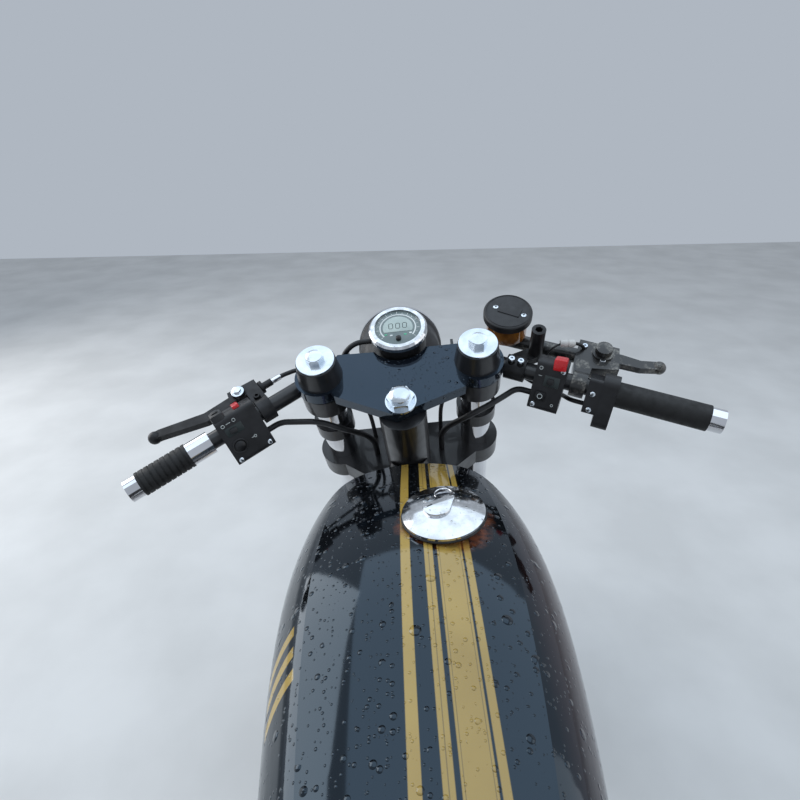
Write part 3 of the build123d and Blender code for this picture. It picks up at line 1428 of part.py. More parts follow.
# Side stand: clevis on the frame's lug, leg, and a foot flat on the ground as parked
lean_sin, lean_cos = sin(radians(parked_lean)), cos(radians(parked_lean))
rear_crown = rear_tyre_width / 2
sink = rear_crown * (1 - lean_cos)
foot_x, foot_y = stand_pivot.X + stand_reach.X, stand_pivot.Y + stand_reach.Y
foot_z = (-sink - foot_x * lean_sin) / lean_cos
foot_thickness = 6
ground = Plane(
    origin=(foot_x, foot_y, foot_z), x_dir=(lean_cos, 0, -lean_sin), z_dir=(lean_sin, 0, lean_cos)
)
stand_down = stand_reach.normalized()
with BuildPart() as side_stand:
    tongue_start = stand_pivot - stand_axis * stand_tongue_half
    with BuildSketch(Plane(origin=tongue_start, x_dir=stand_down, z_dir=stand_axis)):
        Circle(12)
        with Locations((17, 0)):
            Rectangle(34, 20)
    extrude(amount=2 * stand_tongue_half)
    bolt_reach = stand_clevis_half + 1
    add(rod(stand_pivot - stand_axis * bolt_reach, stand_pivot + stand_axis * bolt_reach, stand_bolt_radius))
    for side in sides:
        head = stand_pivot + stand_axis * side * bolt_reach
        add(rod(head, head + stand_axis * side * 5, 10))
    add(rod(stand_pivot + stand_down * 26, Vector(foot_x, foot_y, foot_z + foot_thickness), 10))
    with BuildSketch(ground.offset(-30)):
        Rectangle(120, 120)
    extrude(amount=30, mode=Mode.SUBTRACT)
    with BuildSketch(ground):
        RectangleRounded(46, 62, 14)
    extrude(amount=foot_thickness)

pieces = {
    "frame_cradle": frame_cradle, "swingarm": swingarm, "spool_bosses": spool_bosses, "rear_axle": rear_axle,
    "rear_brake_plate": rear_brake_plate, "chain": chain, "gearbox_sprocket": gearbox_sprocket,
    "crankcase": crankcase, "cylinders": cylinders, "cylinder_head": cylinder_head,
    "carburettors": carburettors, "air_filters": air_filters, "exhausts": exhausts,
    "fuel_tank": fuel_tank, "fuel_cap": fuel_cap, "seat_subframe": seat_subframe,
    "tail_cowl": tail_cowl, "seat_pad": seat_pad, "tail_lamp": tail_lamp,
    "battery_box": battery_box, "rear_shocks": rear_shocks, "shock_studs": shock_studs,
    "foot_rests": foot_rests, "top_yoke": top_yoke, "fork_top_cups": fork_top_cups,
    "yoke_bolts": yoke_bolts, "fork_tubes": fork_tubes, "lower_yoke": lower_yoke,
    "fork_sliders": fork_sliders, "front_axle": front_axle, "front_calipers": front_calipers,
    "front_mudguard": front_mudguard, "headlamp_shell": headlamp_shell,
    "headlamp_glass": headlamp_glass, "headlamp_brackets": headlamp_brackets, "gauge": gauge,
    "gauge_bracket": gauge_bracket, "handlebars": handlebars, "grip_left": grip_left,
    "grip_collar": grip_collar, "grip_right": grip_right, "bar_ends": bar_ends,
    "switch_left": switch_left, "switch_right": switch_right,
    "throttle_housing": throttle_housing, "clutch_lever": clutch_lever,
    "brake_lever": brake_lever, "brake_reservoir": brake_reservoir, "reservoir_lid": reservoir_lid,
    "mirror_post": mirror_post, "control_cables": control_cables, "brake_hoses": brake_hoses,
    "front_tyre": front_tyre, "front_wheel": front_wheel, "front_discs": front_discs,
    "rear_tyre": rear_tyre, "rear_wheel": rear_wheel, "rear_sprocket": rear_sprocket,
    "side_stand": side_stand,
}

# Parking: lean to the left, then bring the bottom centre of the whole to the origin
leaned = {name: piece.part.rotate(Axis.Y, -parked_lean) for name, piece in pieces.items()}
boxes = [piece.bounding_box() for piece in leaned.values()]
left, right = min(box.min.X for box in boxes), max(box.max.X for box in boxes)
back, front = min(box.min.Y for box in boxes), max(box.max.Y for box in boxes)
park = Location((-(left + right) / 2, -(back + front) / 2, -min(box.min.Z for box in boxes)))
for name, piece in leaned.items():
    parked = piece.moved(park)
    parked.label = name
    export_step(parked, f"parts/{name}.step")


def show(name, point, direction):
    """Prints a point and a direction of the upright motorcycle as they are when parked"""
    lean = Location((0, 0, 0), (0, -parked_lean, 0))
    at = (park * lean * Location(tuple(point))).position
    tip = (lean * Location(tuple(direction))).position
    print("at", name, *(round(value, 4) for value in (*tuple(at), *tuple(tip))))


show("steering", steer(0, 0, 0), steering.z_dir)
show("front_axle", Vector(front_axle_half, front_y, tyre_radius), Vector(1, 0, 0))
show("rear_axle", Vector(0, rear_y, tyre_radius), Vector(1, 0, 0))
show("stand", stand_pivot, stand_axis)
for side, word in ((-1, "left"), (1, "right")):
    bar_out = (bar_point(side, 1) - bar_point(side, 0)).normalized()
    show("bar_end_" + word, bar_point(side, bar_length[side] + bar_end_length), bar_out)
    spool = Vector(side * spool_end_x, rear_y + spool_ahead, tyre_radius - spool_below)
    show("spool_" + word, spool, Vector(side, 0, 0))
show("origin_offset", Vector(0, 0, 0), Vector(0, 0, 1))
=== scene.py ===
# %% [markdown]
# This lesson dresses a cafe racer motorcycle whose solids are already built. The solids carry the
# machine: frame, engine, wheels, tank and fork. Blender gives them their finishes and adds what is
# too fine to build as solids, such as switches, bolts, ribs and tread.

# %% Load the solids
import json
from math import atan2, cos, degrees, exp, pi, radians, sin

import bmesh
import bpy
from mathutils import Matrix, Vector


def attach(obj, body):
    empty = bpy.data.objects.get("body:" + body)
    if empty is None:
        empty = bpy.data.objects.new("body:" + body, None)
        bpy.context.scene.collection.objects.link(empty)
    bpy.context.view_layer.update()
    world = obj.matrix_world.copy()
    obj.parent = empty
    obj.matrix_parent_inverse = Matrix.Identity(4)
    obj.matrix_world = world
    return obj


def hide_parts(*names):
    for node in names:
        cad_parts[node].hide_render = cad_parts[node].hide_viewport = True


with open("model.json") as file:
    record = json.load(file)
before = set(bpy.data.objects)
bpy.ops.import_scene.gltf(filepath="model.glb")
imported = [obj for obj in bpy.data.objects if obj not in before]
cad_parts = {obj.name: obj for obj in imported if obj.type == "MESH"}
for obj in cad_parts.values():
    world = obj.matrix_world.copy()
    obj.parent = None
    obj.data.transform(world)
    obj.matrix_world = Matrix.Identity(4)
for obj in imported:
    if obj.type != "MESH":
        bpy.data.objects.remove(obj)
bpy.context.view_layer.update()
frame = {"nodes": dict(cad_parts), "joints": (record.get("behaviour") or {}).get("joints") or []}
nodes = frame["nodes"]

# %% [markdown]
# The machine leans on its side stand, and its fork is raked. Both frames come from the joints: the
# wheel's axis gives the lean, and the steering joint gives the top yoke's middle and the rake. New
# pieces are drawn upright, in millimetres, and one matrix carries each to its place. The matrix
# from_stem measures from the ground below the yoke, and on_fork from the yoke's own middle.

# %% Find the leaning frame and the fork's frame
def axes(origin, first, second, third):
    """A frame as one matrix, from its origin and three directions"""
    turned_to = Matrix((first, second, third)).transposed().to_4x4()
    return Matrix.Translation(origin) @ turned_to


joints = {joint["name"]: joint for joint in frame["joints"]}
yoke_middle = Vector(joints["steering"]["pos_m"])
fork_axis = Vector(joints["steering"]["axis"])
rider_right = Vector(joints["rear_wheel_spin"]["axis"])
fork_ahead = fork_axis.cross(rider_right)
lean = atan2(rider_right.z, rider_right.x)
lean_up = Vector((-sin(lean), 0, cos(lean)))
yoke_height = 0.940
in_mm = Matrix.Scale(0.001, 4)
to_ground = Matrix.Rotation(-lean, 4, "Y") @ Matrix.Translation((0, 0, -yoke_height))
from_stem = Matrix.Translation(yoke_middle) @ to_ground @ in_mm
on_fork = axes(yoke_middle, rider_right, fork_ahead, fork_axis) @ in_mm
print("lean", round(degrees(lean), 2), "degrees, yoke at", [round(v, 3) for v in yoke_middle])

# %% [markdown]
# Each handlebar has its own frame: its first axis runs out along the bar, its second ahead of it
# and its third up. The switch blocks are turned back by 35 degrees, so their frame has the block's
# face as its floor: out along the bar, up the face, and out of the face towards the rider.

# %% Frames of the handlebars and of the switch blocks
sweep_back = {-1: radians(33), 1: radians(27)}
block_lean = radians(35)
up = Vector((0, 0, 1))
on_bar, on_block = {}, {}
for side in (-1, 1):
    outward = Vector((side * cos(sweep_back[side]), -sin(sweep_back[side]), 0))
    ahead = Vector((side * sin(sweep_back[side]), cos(sweep_back[side]), 0))
    bar_start = Vector((side * 100, 88, -35))
    up_the_face = up * cos(block_lean) + ahead * sin(block_lean)
    out_of_face = up * sin(block_lean) - ahead * cos(block_lean)
    on_bar[side] = on_fork @ axes(bar_start, outward, ahead, up)
    on_block[side] = on_fork @ axes(bar_start, outward, up_the_face, out_of_face)
    bar_end = on_bar[side] @ Vector((280, 0, 0))
    print("bar end near", [round(v, 3) for v in bar_end])

# %% [markdown]
# The camera stands where the rider's eyes are, behind and above the tank. Its place is measured
# from the yoke, and it looks forward and down, rolled a little. The lens is wide, as on a phone.

# %% Camera
eye_from_yoke = Vector((-0.0028, -0.5822, 0.2937))
pitch_down = radians(26.57)
heading = radians(0.17)
roll = radians(-1.2)
camera_data = bpy.data.cameras.new("rider_eye")
camera_data.sensor_width = 36
camera_data.lens = 24.35
camera_data.clip_start = 0.01
camera = bpy.data.objects.new("rider_eye", camera_data)
camera.matrix_world = (
    Matrix.Translation(yoke_middle + eye_from_yoke)
    @ Matrix.Rotation(-heading, 4, "Z")
    @ Matrix.Rotation(radians(90) - pitch_down, 4, "X")
    @ Matrix.Rotation(roll, 4, "Z")
)
bpy.context.scene.collection.objects.link(camera)
bpy.context.scene.camera = camera
bpy.context.scene.view_settings.view_transform = "Standard"
print("camera at", [round(v, 3) for v in camera.location])

# %% [markdown]
# Every finish starts from the same few nodes: a place on the object, a noise that varies over it,
# and a bump made from a second noise. Helpers keep each finish short. A value that doesn't vary is
# set on the shader itself.

# %% Helpers that add nodes to a finish
def start_finish(name, roughness, metallic=0.0, coat=0.0):
    """A material with one shader, and the place on the object that patterns read"""
    material = bpy.data.materials.new(name)
    material.use_nodes = True
    tree = material.node_tree
    shader = tree.nodes["Principled BSDF"]
    shader.inputs["Roughness"].default_value = roughness
    shader.inputs["Metallic"].default_value = metallic
    shader.inputs["Coat Weight"].default_value = coat
    shader.inputs["Coat Roughness"].default_value = 0.03
    place = tree.nodes.new("ShaderNodeTexCoord").outputs["Object"]
    return material, tree, shader, place


def noise(tree, place, scale, detail=4.0):
    """A soft noise over the place"""
    texture = tree.nodes.new("ShaderNodeTexNoise")
    texture.inputs["Scale"].default_value = scale
    texture.inputs["Detail"].default_value = detail
    tree.links.new(place, texture.inputs["Vector"])
    return texture.outputs["Fac"]


def ramp(tree, factor, start, end, low=0.0, high=1.0):
    """Turns a range of one value into a range of another"""
    node = tree.nodes.new("ShaderNodeMapRange")
    for name, value in (("From Min", start), ("From Max", end), ("To Min", low), ("To Max", high)):
        node.inputs[name].default_value = value
    tree.links.new(factor, node.inputs["Value"])
    return node.outputs["Result"]


def mix(tree, factor, first, second):
    """Mixes two colours, each a plain colour or a socket"""
    first_colour, second_colour, mixed_colour = 6, 7, 2
    node = tree.nodes.new("ShaderNodeMix")
    node.data_type = "RGBA"
    tree.links.new(factor, node.inputs["Factor"])
    for index, colour in ((first_colour, first), (second_colour, second)):
        if isinstance(colour, tuple):
            node.inputs[index].default_value = (*colour, 1.0)
        else:
            tree.links.new(colour, node.inputs[index])
    return node.outputs[mixed_colour]


def math(tree, operation, first, second=0.5):
    """One step of arithmetic on sockets or plain numbers"""
    node = tree.nodes.new("ShaderNodeMath")
    node.operation = operation
    for index, value in enumerate((first, second)):
        if isinstance(value, (int, float)):
            node.inputs[index].default_value = value
        else:
            tree.links.new(value, node.inputs[index])
    return node.outputs["Value"]


def bump(tree, shader, height, strength, distance):
    """Turns a height into a dented or grained surface"""
    node = tree.nodes.new("ShaderNodeBump")
    node.inputs["Strength"].default_value = strength
    node.inputs["Distance"].default_value = distance
    tree.links.new(height, node.inputs["Height"])
    tree.links.new(node.outputs["Normal"], shader.inputs["Normal"])


def colour_from(tree, shader, factor, dark, light):
    """Colours the shader with a mix of two colours"""
    tree.links.new(mix(tree, factor, dark, light), shader.inputs["Base Color"])


print("helpers for nodes ready")

# %% [markdown]
# Three patterns do most of the work. A band is a stripe between two measured distances, so paint
# is laid out as on a drawing. Drops of water stand in the cells of a random pattern, each a low
# dome. The grained finish is the plain one: two near colours in patches, uneven gloss and a fine
# grain.

# %% Bands, drops and grain
def measured(tree, place, origin, direction):
    """How far a place lies from an origin along a direction, in metres"""
    offset = tree.nodes.new("ShaderNodeVectorMath")
    offset.operation = "SUBTRACT"
    offset.inputs[1].default_value = origin
    tree.links.new(place, offset.inputs[0])
    length = tree.nodes.new("ShaderNodeVectorMath")
    length.operation = "DOT_PRODUCT"
    length.inputs[1].default_value = direction
    tree.links.new(offset.outputs["Vector"], length.inputs[0])
    return length.outputs["Value"]


def hypotenuse(tree, first, second):
    """How far two square steps lead together"""
    squares = [math(tree, "POWER", value, 2.0) for value in (first, second)]
    return math(tree, "SQRT", math(tree, "ADD", *squares))


def band(tree, value, low, high, soft=0.0004):
    """One between two values and nothing outside them, with a slightly soft edge"""
    rise = ramp(tree, value, low - soft, low + soft)
    fall = ramp(tree, value, high + soft, high - soft)
    return math(tree, "MULTIPLY", rise, fall)


def droplets(tree, place, cells, share):
    """The height of round drops, in metres: at most one in each cell of a random pattern"""
    widest, dome = 0.36, 0.6
    texture = tree.nodes.new("ShaderNodeTexVoronoi")
    texture.inputs["Scale"].default_value = cells
    tree.links.new(place, texture.inputs["Vector"])
    chance = tree.nodes.new("ShaderNodeSeparateColor")
    tree.links.new(texture.outputs["Color"], chance.inputs["Color"])
    radius = ramp(tree, chance.outputs["Red"], 1 - share, 1.0, 0.0, widest)
    radius_squared = math(tree, "POWER", radius, 2.0)
    away_squared = math(tree, "POWER", texture.outputs["Distance"], 2.0)
    inside = math(tree, "MAXIMUM", math(tree, "SUBTRACT", radius_squared, away_squared), 0.0)
    return math(tree, "MULTIPLY", math(tree, "SQRT", inside), dome / cells)


def added(tree, *heights):
    """Several heights as one"""
    total = heights[0]
    for height in heights[1:]:
        total = math(tree, "ADD", total, height)
    return total


def grained(name, dark, light, roughness, metallic=0.0, coat=0.0, *, scale, grain, depth):
    """A plain finish: two near colours, uneven gloss and a fine grain"""
    material, tree, shader, place = start_finish(name, roughness, metallic, coat)
    colour_from(tree, shader, ramp(tree, noise(tree, place, scale), 0.35, 0.65), dark, light)
    smears = noise(tree, place, scale * 2.3)
    gloss = ramp(tree, smears, 0.3, 0.7, roughness * 0.8, roughness * 1.25)
    tree.links.new(gloss, shader.inputs["Roughness"])
    bump(tree, shader, noise(tree, place, grain, 2.0), 0.4, depth)
    return material


print("patterns ready")

# %% [markdown]
# The machine's metals are all plain finishes that differ in colour, gloss and grain: zinc plate on
# the fork washers, chrome on the cap and exhausts, cast alloy on the engine, ground steel on the
# discs, and black castings.

# %% Metals
zinc = grained(
    "bright_zinc", (0.62, 0.68, 0.74), (0.82, 0.86, 0.9), 0.2, 1.0,
    scale=60, grain=900, depth=0.00003,
)
chrome = grained(
    "chrome_plate", (0.72, 0.72, 0.74), (0.86, 0.86, 0.88), 0.07, 1,
    scale=25, grain=300, depth=0.00002,
)
alloy = grained(
    "cast_alloy", (0.38, 0.38, 0.39), (0.43, 0.43, 0.44), 0.38, 1.0,
    scale=30, grain=900, depth=0.0002,
)
polished = grained(
    "polished_alloy", (0.6, 0.6, 0.62), (0.74, 0.74, 0.76), 0.16, 1,
    scale=25, grain=500, depth=0.00003,
)
steel = grained(
    "ground_steel", (0.4, 0.39, 0.38), (0.46, 0.45, 0.44), 0.3, 1,
    scale=80, grain=1200, depth=0.00005,
)
cast_black = grained(
    "cast_black", (0.018,) * 3, (0.035, 0.034, 0.033), 0.55, 0.3, scale=50, grain=900, depth=0.0003
)
lever_black = grained(
    "lever_black", (0.01, 0.01, 0.011), (0.03, 0.03, 0.032), 0.4, 0.4,
    scale=60, grain=900, depth=0.0001,
)
print("metals", len(bpy.data.materials))

# %% [markdown]
# What isn't bare metal is painted, moulded, woven or sewn. Paint and lenses have a clear coat, and
# rubber, cloth and leather have none.

# %% Paints, plastics, rubbers and lenses
satin_black = grained(
    "satin_black", (0.008, 0.008, 0.009), (0.018, 0.018, 0.02), 0.35, 0, 0.3,
    scale=30, grain=700, depth=0.0001,
)
mirror_black = grained(
    "gloss_black", (0.003, 0.003, 0.004), (0.006, 0.006, 0.008), 0.12, 0, 1,
    scale=10, grain=300, depth=0.00002,
)
plastic = grained(
    "black_plastic", (0.01, 0.01, 0.011), (0.02, 0.02, 0.022), 0.45,
    scale=50, grain=1500, depth=0.0002,
)
grip_rubber = grained(
    "grip_rubber", (0.006,) * 3, (0.014,) * 3, 0.6, scale=60, grain=900, depth=0.0003
)
hose_rubber = grained(
    "hose_rubber", (0.007,) * 3, (0.016,) * 3, 0.5, scale=80, grain=1200, depth=0.0002
)
filter_fabric = grained(
    "filter_fabric", (0.02,) * 3, (0.05, 0.048, 0.045), 0.85, scale=200, grain=1500, depth=0.0006
)
leather = grained(
    "seat_leather", (0.012, 0.011, 0.01), (0.024, 0.022, 0.02), 0.45,
    scale=14, grain=260, depth=0.0008,
)
red_lens = grained(
    "red_lens", (0.35, 0.006, 0.004), (0.5, 0.01, 0.008), 0.12, 0, 0.8,
    scale=40, grain=500, depth=0.00003,
)
amber_cup = grained(
    "amber_cup", (0.2, 0.07, 0.01), (0.4, 0.16, 0.03), 0.15, 0, 0.8,
    scale=60, grain=500, depth=0.00003,
)
clear_glass = grained(
    "lamp_glass", (0.75, 0.78, 0.8), (0.85, 0.88, 0.9), 0.05, scale=20, grain=300, depth=0.00003
)
clear_glass.node_tree.nodes["Principled BSDF"].inputs["Transmission Weight"].default_value = 0.85
dial_grey = grained(
    "dial_grey", (0.1, 0.14, 0.14), (0.13, 0.175, 0.17), 0.2, 0, 1,
    scale=60, grain=500, depth=0.00001,
)
screen_pale = grained(
    "screen_pale", (0.36, 0.44, 0.41), (0.46, 0.54, 0.5), 0.2, 0, 1,
    scale=40, grain=500, depth=0.00001,
)
mark_white = grained(
    "mark_white", (0.62, 0.66, 0.64), (0.74, 0.78, 0.76), 0.35, scale=60, grain=900, depth=0.00002
)
# Dark print on the dial and the sliders' wells, and painted shade in screw crosses and the key
# slit.
dark_print_and_shade = grained(
    "dark_print_and_shade", (0.02, 0.03, 0.03), (0.035, 0.045, 0.045), 0.4, scale=60, grain=900, depth=0.00002
)
mark_green = grained(
    "mark_green", (0.06, 0.36, 0.2), (0.1, 0.48, 0.28), 0.35, scale=60, grain=900, depth=0.00002
)
button_red = grained(
    "button_red", (0.55, 0.008, 0.012), (0.68, 0.014, 0.02), 0.3, 0, 0.3,
    scale=60, grain=900, depth=0.00004,
)
plug_white = grained(
    "plug_white", (0.5, 0.49, 0.47), (0.66, 0.65, 0.62), 0.35, scale=70, grain=900, depth=0.00005
)
print("finishes", len(bpy.data.materials))

# %% [markdown]
# The tank is gloss black under clear lacquer, with gold stripes to the right of its middle and
# three short gold bars on its left flank. The stripes are measured across the upright machine, so
# they follow its lean. A separate decal mesh could do this too, but it would lie on the surface
# instead of in it.

# %% Tank paint: black with gold stripes
gold_light, gold_dark = (0.46, 0.31, 0.072), (0.36, 0.235, 0.05)
stripes = ((-0.0095, -0.0005), (0.0125, 0.0205), (0.0245, 0.0475), (0.0495, 0.0555))
pin_lines = ((0.0160, 0.0168), (0.0262, 0.0268), (0.0452, 0.0458))
flank_bars, bars_read_at = (-0.2555, -0.2765, -0.2975), -0.094
bar_slope, bar_half_width = 0.75, 0.005

tank_paint, tree, shader, place = start_finish("tank_paint", 0.08)
shader.inputs["Specular Tint"].default_value = (0.6, 0.8, 1.0, 1)
shader.inputs["Specular IOR Level"].default_value = 0.75
sideways = measured(tree, place, yoke_middle, rider_right)
forwards = measured(tree, place, yoke_middle, (0, 1, 0))
upwards = measured(tree, place, yoke_middle, lean_up)
stripe = band(tree, sideways, *stripes[0])
for edges in stripes[1:]:
    stripe = math(tree, "MAXIMUM", stripe, band(tree, sideways, *edges))
for edges in pin_lines:
    thin = math(tree, "MULTIPLY", band(tree, sideways, *edges, soft=0.0002), 0.45)
    stripe = math(tree, "MULTIPLY", stripe, math(tree, "SUBTRACT", 1.0, thin))
stripe = math(tree, "MULTIPLY", stripe, ramp(tree, upwards, -0.15, -0.148))
slanted = math(tree, "ADD", forwards, math(tree, "MULTIPLY", upwards, -bar_slope))
bar_length = band(tree, upwards, -0.122, -0.086)
left_flank = math(tree, "MULTIPLY", ramp(tree, sideways, -0.0985, -0.1), bar_length)
for read_middle in flank_bars:
    middle = read_middle - bar_slope * bars_read_at
    bar = band(tree, slanted, middle - bar_half_width, middle + bar_half_width)
    stripe = math(tree, "MAXIMUM", stripe, math(tree, "MULTIPLY", bar, left_flank))
gold = mix(tree, ramp(tree, noise(tree, place, 9), 0.3, 0.7), gold_dark, gold_light)
brown_edge = math(tree, "MULTIPLY", ramp(tree, sideways, 0.095, 0.135), 0.7)
black = mix(tree, brown_edge, (0.0022, 0.0026, 0.0034), (0.055, 0.014, 0.007))
painted = mix(tree, stripe, black, gold)
print("stripes", len(stripes), "bars", len(flank_bars))

# %% [markdown]
# The tank has stood in the rain, so drops of three sizes stand on it, and rust has run from under
# the filler cap. The rust is strongest at the cap, and a noise makes its edge wander. The drops
# are bump, because as mesh they would be thousands of small domes.

# %% Rust and rain on the tank
cap_right, cap_ahead, cap_up = 35, -148, 896
off_right = math(tree, "SUBTRACT", sideways, cap_right * 0.001)
off_ahead = math(tree, "SUBTRACT", forwards, cap_ahead * 0.001)
from_cap = hypotenuse(tree, off_right, off_ahead)
rust_edge = math(tree, "ADD", from_cap, math(tree, "MULTIPLY", noise(tree, place, 45), 0.03))
rust = math(tree, "MULTIPLY", ramp(tree, rust_edge, 0.066, 0.05), 0.8)
rust_patches = ramp(tree, noise(tree, place, 160), 0.35, 0.6)
rust_colour = mix(tree, rust_patches, (0.045, 0.012, 0.006), (0.32, 0.085, 0.018))
tree.links.new(mix(tree, rust, painted, rust_colour), shader.inputs["Base Color"])
tree.links.new(ramp(tree, rust, 0.0, 0.8, 0.07, 0.42), shader.inputs["Roughness"])
drops = [droplets(tree, place, *drop) for drop in ((66, 0.4), (120, 0.7), (240, 0.7))]
bump(tree, shader, added(tree, *drops), 1.0, 1.0)
print("drop sizes", len(drops))

# %% [markdown]
# The top yoke is the same black with finer rain, which stands higher on its right side. The filler
# cap is chrome with hair scratches: noise that is squeezed along one direction makes them.

# %% Wet yoke and scratched chrome
wet_black, tree, shader, place = start_finish("wet_black", 0.06)
shader.inputs["Specular Tint"].default_value = (0.55, 0.76, 1.0, 1)
shader.inputs["Specular IOR Level"].default_value = 0.8
patches = ramp(tree, noise(tree, place, 30), 0.35, 0.65)
colour_from(tree, shader, patches, (0.004, 0.006, 0.009), (0.007, 0.009, 0.014))
yoke_right = measured(tree, place, yoke_middle, rider_right)
wetness = ramp(tree, yoke_right, -0.03, 0.03, 0.25, 1.0)
drops = [droplets(tree, place, *drop) for drop in ((130, 0.3), (250, 0.45), (480, 0.4))]
bump(tree, shader, math(tree, "MULTIPLY", added(tree, *drops), wetness), 1.0, 1.0)

scratched_chrome, tree, shader, place = start_finish("scratched_chrome", 0.12, 1.0)
cloudy = ramp(tree, noise(tree, place, 70), 0.4, 0.62)
colour_from(tree, shader, cloudy, (0.62, 0.63, 0.64), (0.84, 0.85, 0.87))
squeezed = tree.nodes.new("ShaderNodeMapping")
squeezed.inputs["Rotation"].default_value = (0, 0, 0.7)
squeezed.inputs["Scale"].default_value = (30, 900, 30)
tree.links.new(place, squeezed.inputs["Vector"])
hairs = ramp(tree, noise(tree, squeezed.outputs["Vector"], 1.0, 2.0), 0.66, 0.72)
scratches = math(tree, "MULTIPLY", hairs, -0.00004)
bump(tree, shader, added(tree, scratches, droplets(tree, place, 300, 0.2)), 1.0, 1.0)
tree.links.new(ramp(tree, hairs, 0.0, 1.0, 0.11, 0.3), shader.inputs["Roughness"])
print("yoke and cap finishes ready")

# %% [markdown]
# The gauge is one solid with two finishes: its bezel is chrome, and its foot and sunk face are
# black. Height above the yoke and distance from the dial's middle tell them apart. The brake
# lever's perch has lost some of its black, and bare metal shows there.

# %% Gauge case and worn black
dial_spot = (4, 106)
dial_middle = on_fork @ Vector((*dial_spot, 0))
gauge_case, tree, shader, place = start_finish("gauge_case", 0.12)
above_foot = ramp(tree, measured(tree, place, yoke_middle, fork_axis), 0.0115, 0.0119)
dial_right = measured(tree, place, dial_middle, rider_right)
dial_ahead = measured(tree, place, dial_middle, fork_ahead)
off_face = ramp(tree, hypotenuse(tree, dial_right, dial_ahead), 0.0295, 0.03)
bezel = math(tree, "MULTIPLY", above_foot, off_face)
uneven = ramp(tree, noise(tree, place, 120), 0.4, 0.6)
chromed = mix(tree, uneven, (0.6, 0.61, 0.62), (0.85, 0.86, 0.88))
tree.links.new(mix(tree, bezel, (0.012, 0.012, 0.013), chromed), shader.inputs["Base Color"])
tree.links.new(bezel, shader.inputs["Metallic"])
tree.links.new(ramp(tree, bezel, 0.0, 1.0, 0.4, 0.1), shader.inputs["Roughness"])
bump(tree, shader, droplets(tree, place, 420, 0.2), 1.0, 1.0)

worn_black, tree, shader, place = start_finish("worn_black", 0.35, 0.0, 0.4)
rubbed = ramp(tree, noise(tree, place, 70), 0.5, 0.62)
bare = math(tree, "MULTIPLY", rubbed, ramp(tree, noise(tree, place, 400), 0.35, 0.6))
colour_from(tree, shader, bare, (0.012, 0.012, 0.012), (0.2, 0.19, 0.17))
tree.links.new(math(tree, "MULTIPLY", bare, 0.8), shader.inputs["Metallic"])
bump(tree, shader, noise(tree, place, 900, 2.0), 0.4, 0.0001)
print("gauge and perch finishes ready")

# %% [markdown]
# A tyre's tread is cut by its own angle round the axle, so each tyre has a finish that knows its
# axle: three straight grooves run round it and slanted cuts cross the shoulders. The grooves are
# dented by bump and coloured darker than the rubber, which is painted shade.

# %% Tyre tread
axle_up, front_axle, rear_axle = 318, 377.5, -1022.5
cuts_round, cut_slant = 54, 45.0


def treaded(name, axle_ahead):
    """Rubber with a tread measured round an axle, with painted shade in its grooves"""
    finish, tree, shader, place = start_finish(name, 0.72)
    axle = from_stem @ Vector((0, axle_ahead, axle_up))
    across_tyre = math(tree, "ABSOLUTE", measured(tree, place, axle, rider_right))
    ahead = measured(tree, place, axle, (0, 1, 0))
    above = measured(tree, place, axle, lean_up)
    turn = math(tree, "MULTIPLY", math(tree, "ARCTAN2", above, ahead), cuts_round / (2 * pi))
    slant = math(tree, "MULTIPLY", across_tyre, cut_slant)
    slanted = band(tree, math(tree, "FRACT", math(tree, "ADD", turn, slant)), 0.1, 0.3, 0.03)
    cuts = math(tree, "MULTIPLY", slanted, band(tree, across_tyre, 0.014, 0.046))
    middle_ring = band(tree, across_tyre, 0.0, 0.0012)
    rings = math(tree, "MAXIMUM", middle_ring, band(tree, across_tyre, 0.0105, 0.0135))
    outside = ramp(tree, hypotenuse(tree, ahead, above), 0.285, 0.29)
    grooves = math(tree, "MULTIPLY", math(tree, "MAXIMUM", cuts, rings), outside)
    # The grooves are coloured darker than the rubber: painted shade in the recesses.
    colour_from(tree, shader, grooves, (0.022, 0.021, 0.02), (0.006, 0.006, 0.006))
    grain = math(tree, "MULTIPLY", noise(tree, place, 700, 2.0), 0.0003)
    height = math(tree, "SUBTRACT", grain, math(tree, "MULTIPLY", grooves, 0.003))
    bump(tree, shader, height, 1.0, 1.0)
    return finish


front_rubber, rear_rubber = treaded("front_tread", front_axle), treaded("rear_tread", rear_axle)
print("treads", front_rubber.name, rear_rubber.name)

# %% [markdown]
# The headers are chromed steel that the exhaust has heated. They have turned straw and blue near
# the cylinder head, and fade to plain chrome 200 millimetres further down.

# %% Heated chrome
heated, tree, shader, place = start_finish("heated_chrome", 0.08, 1.0)
port_up = (from_stem @ Vector((0, 0, 600)) - yoke_middle) @ lean_up
heat = ramp(tree, measured(tree, place, yoke_middle, lean_up), port_up - 0.2, port_up)
wander = math(tree, "SUBTRACT", noise(tree, place, 18), 0.5)
heat = math(tree, "ADD", heat, math(tree, "MULTIPLY", wander, 0.25))
straw = mix(tree, ramp(tree, heat, 0.15, 0.6), (0.82, 0.82, 0.84), (0.78, 0.62, 0.38))
blued = mix(tree, ramp(tree, heat, 0.65, 1.0), straw, (0.38, 0.36, 0.5))
tree.links.new(blued, shader.inputs["Base Color"])
smears = ramp(tree, noise(tree, place, 25), 0.3, 0.7, 0.06, 0.13)
tree.links.new(smears, shader.inputs["Roughness"])
print("port", round(port_up, 3), "m from the yoke")

# %% [markdown]
# Each solid takes its finish by name. The table below is read as a parts list: a finish, then the
# solids that have it.

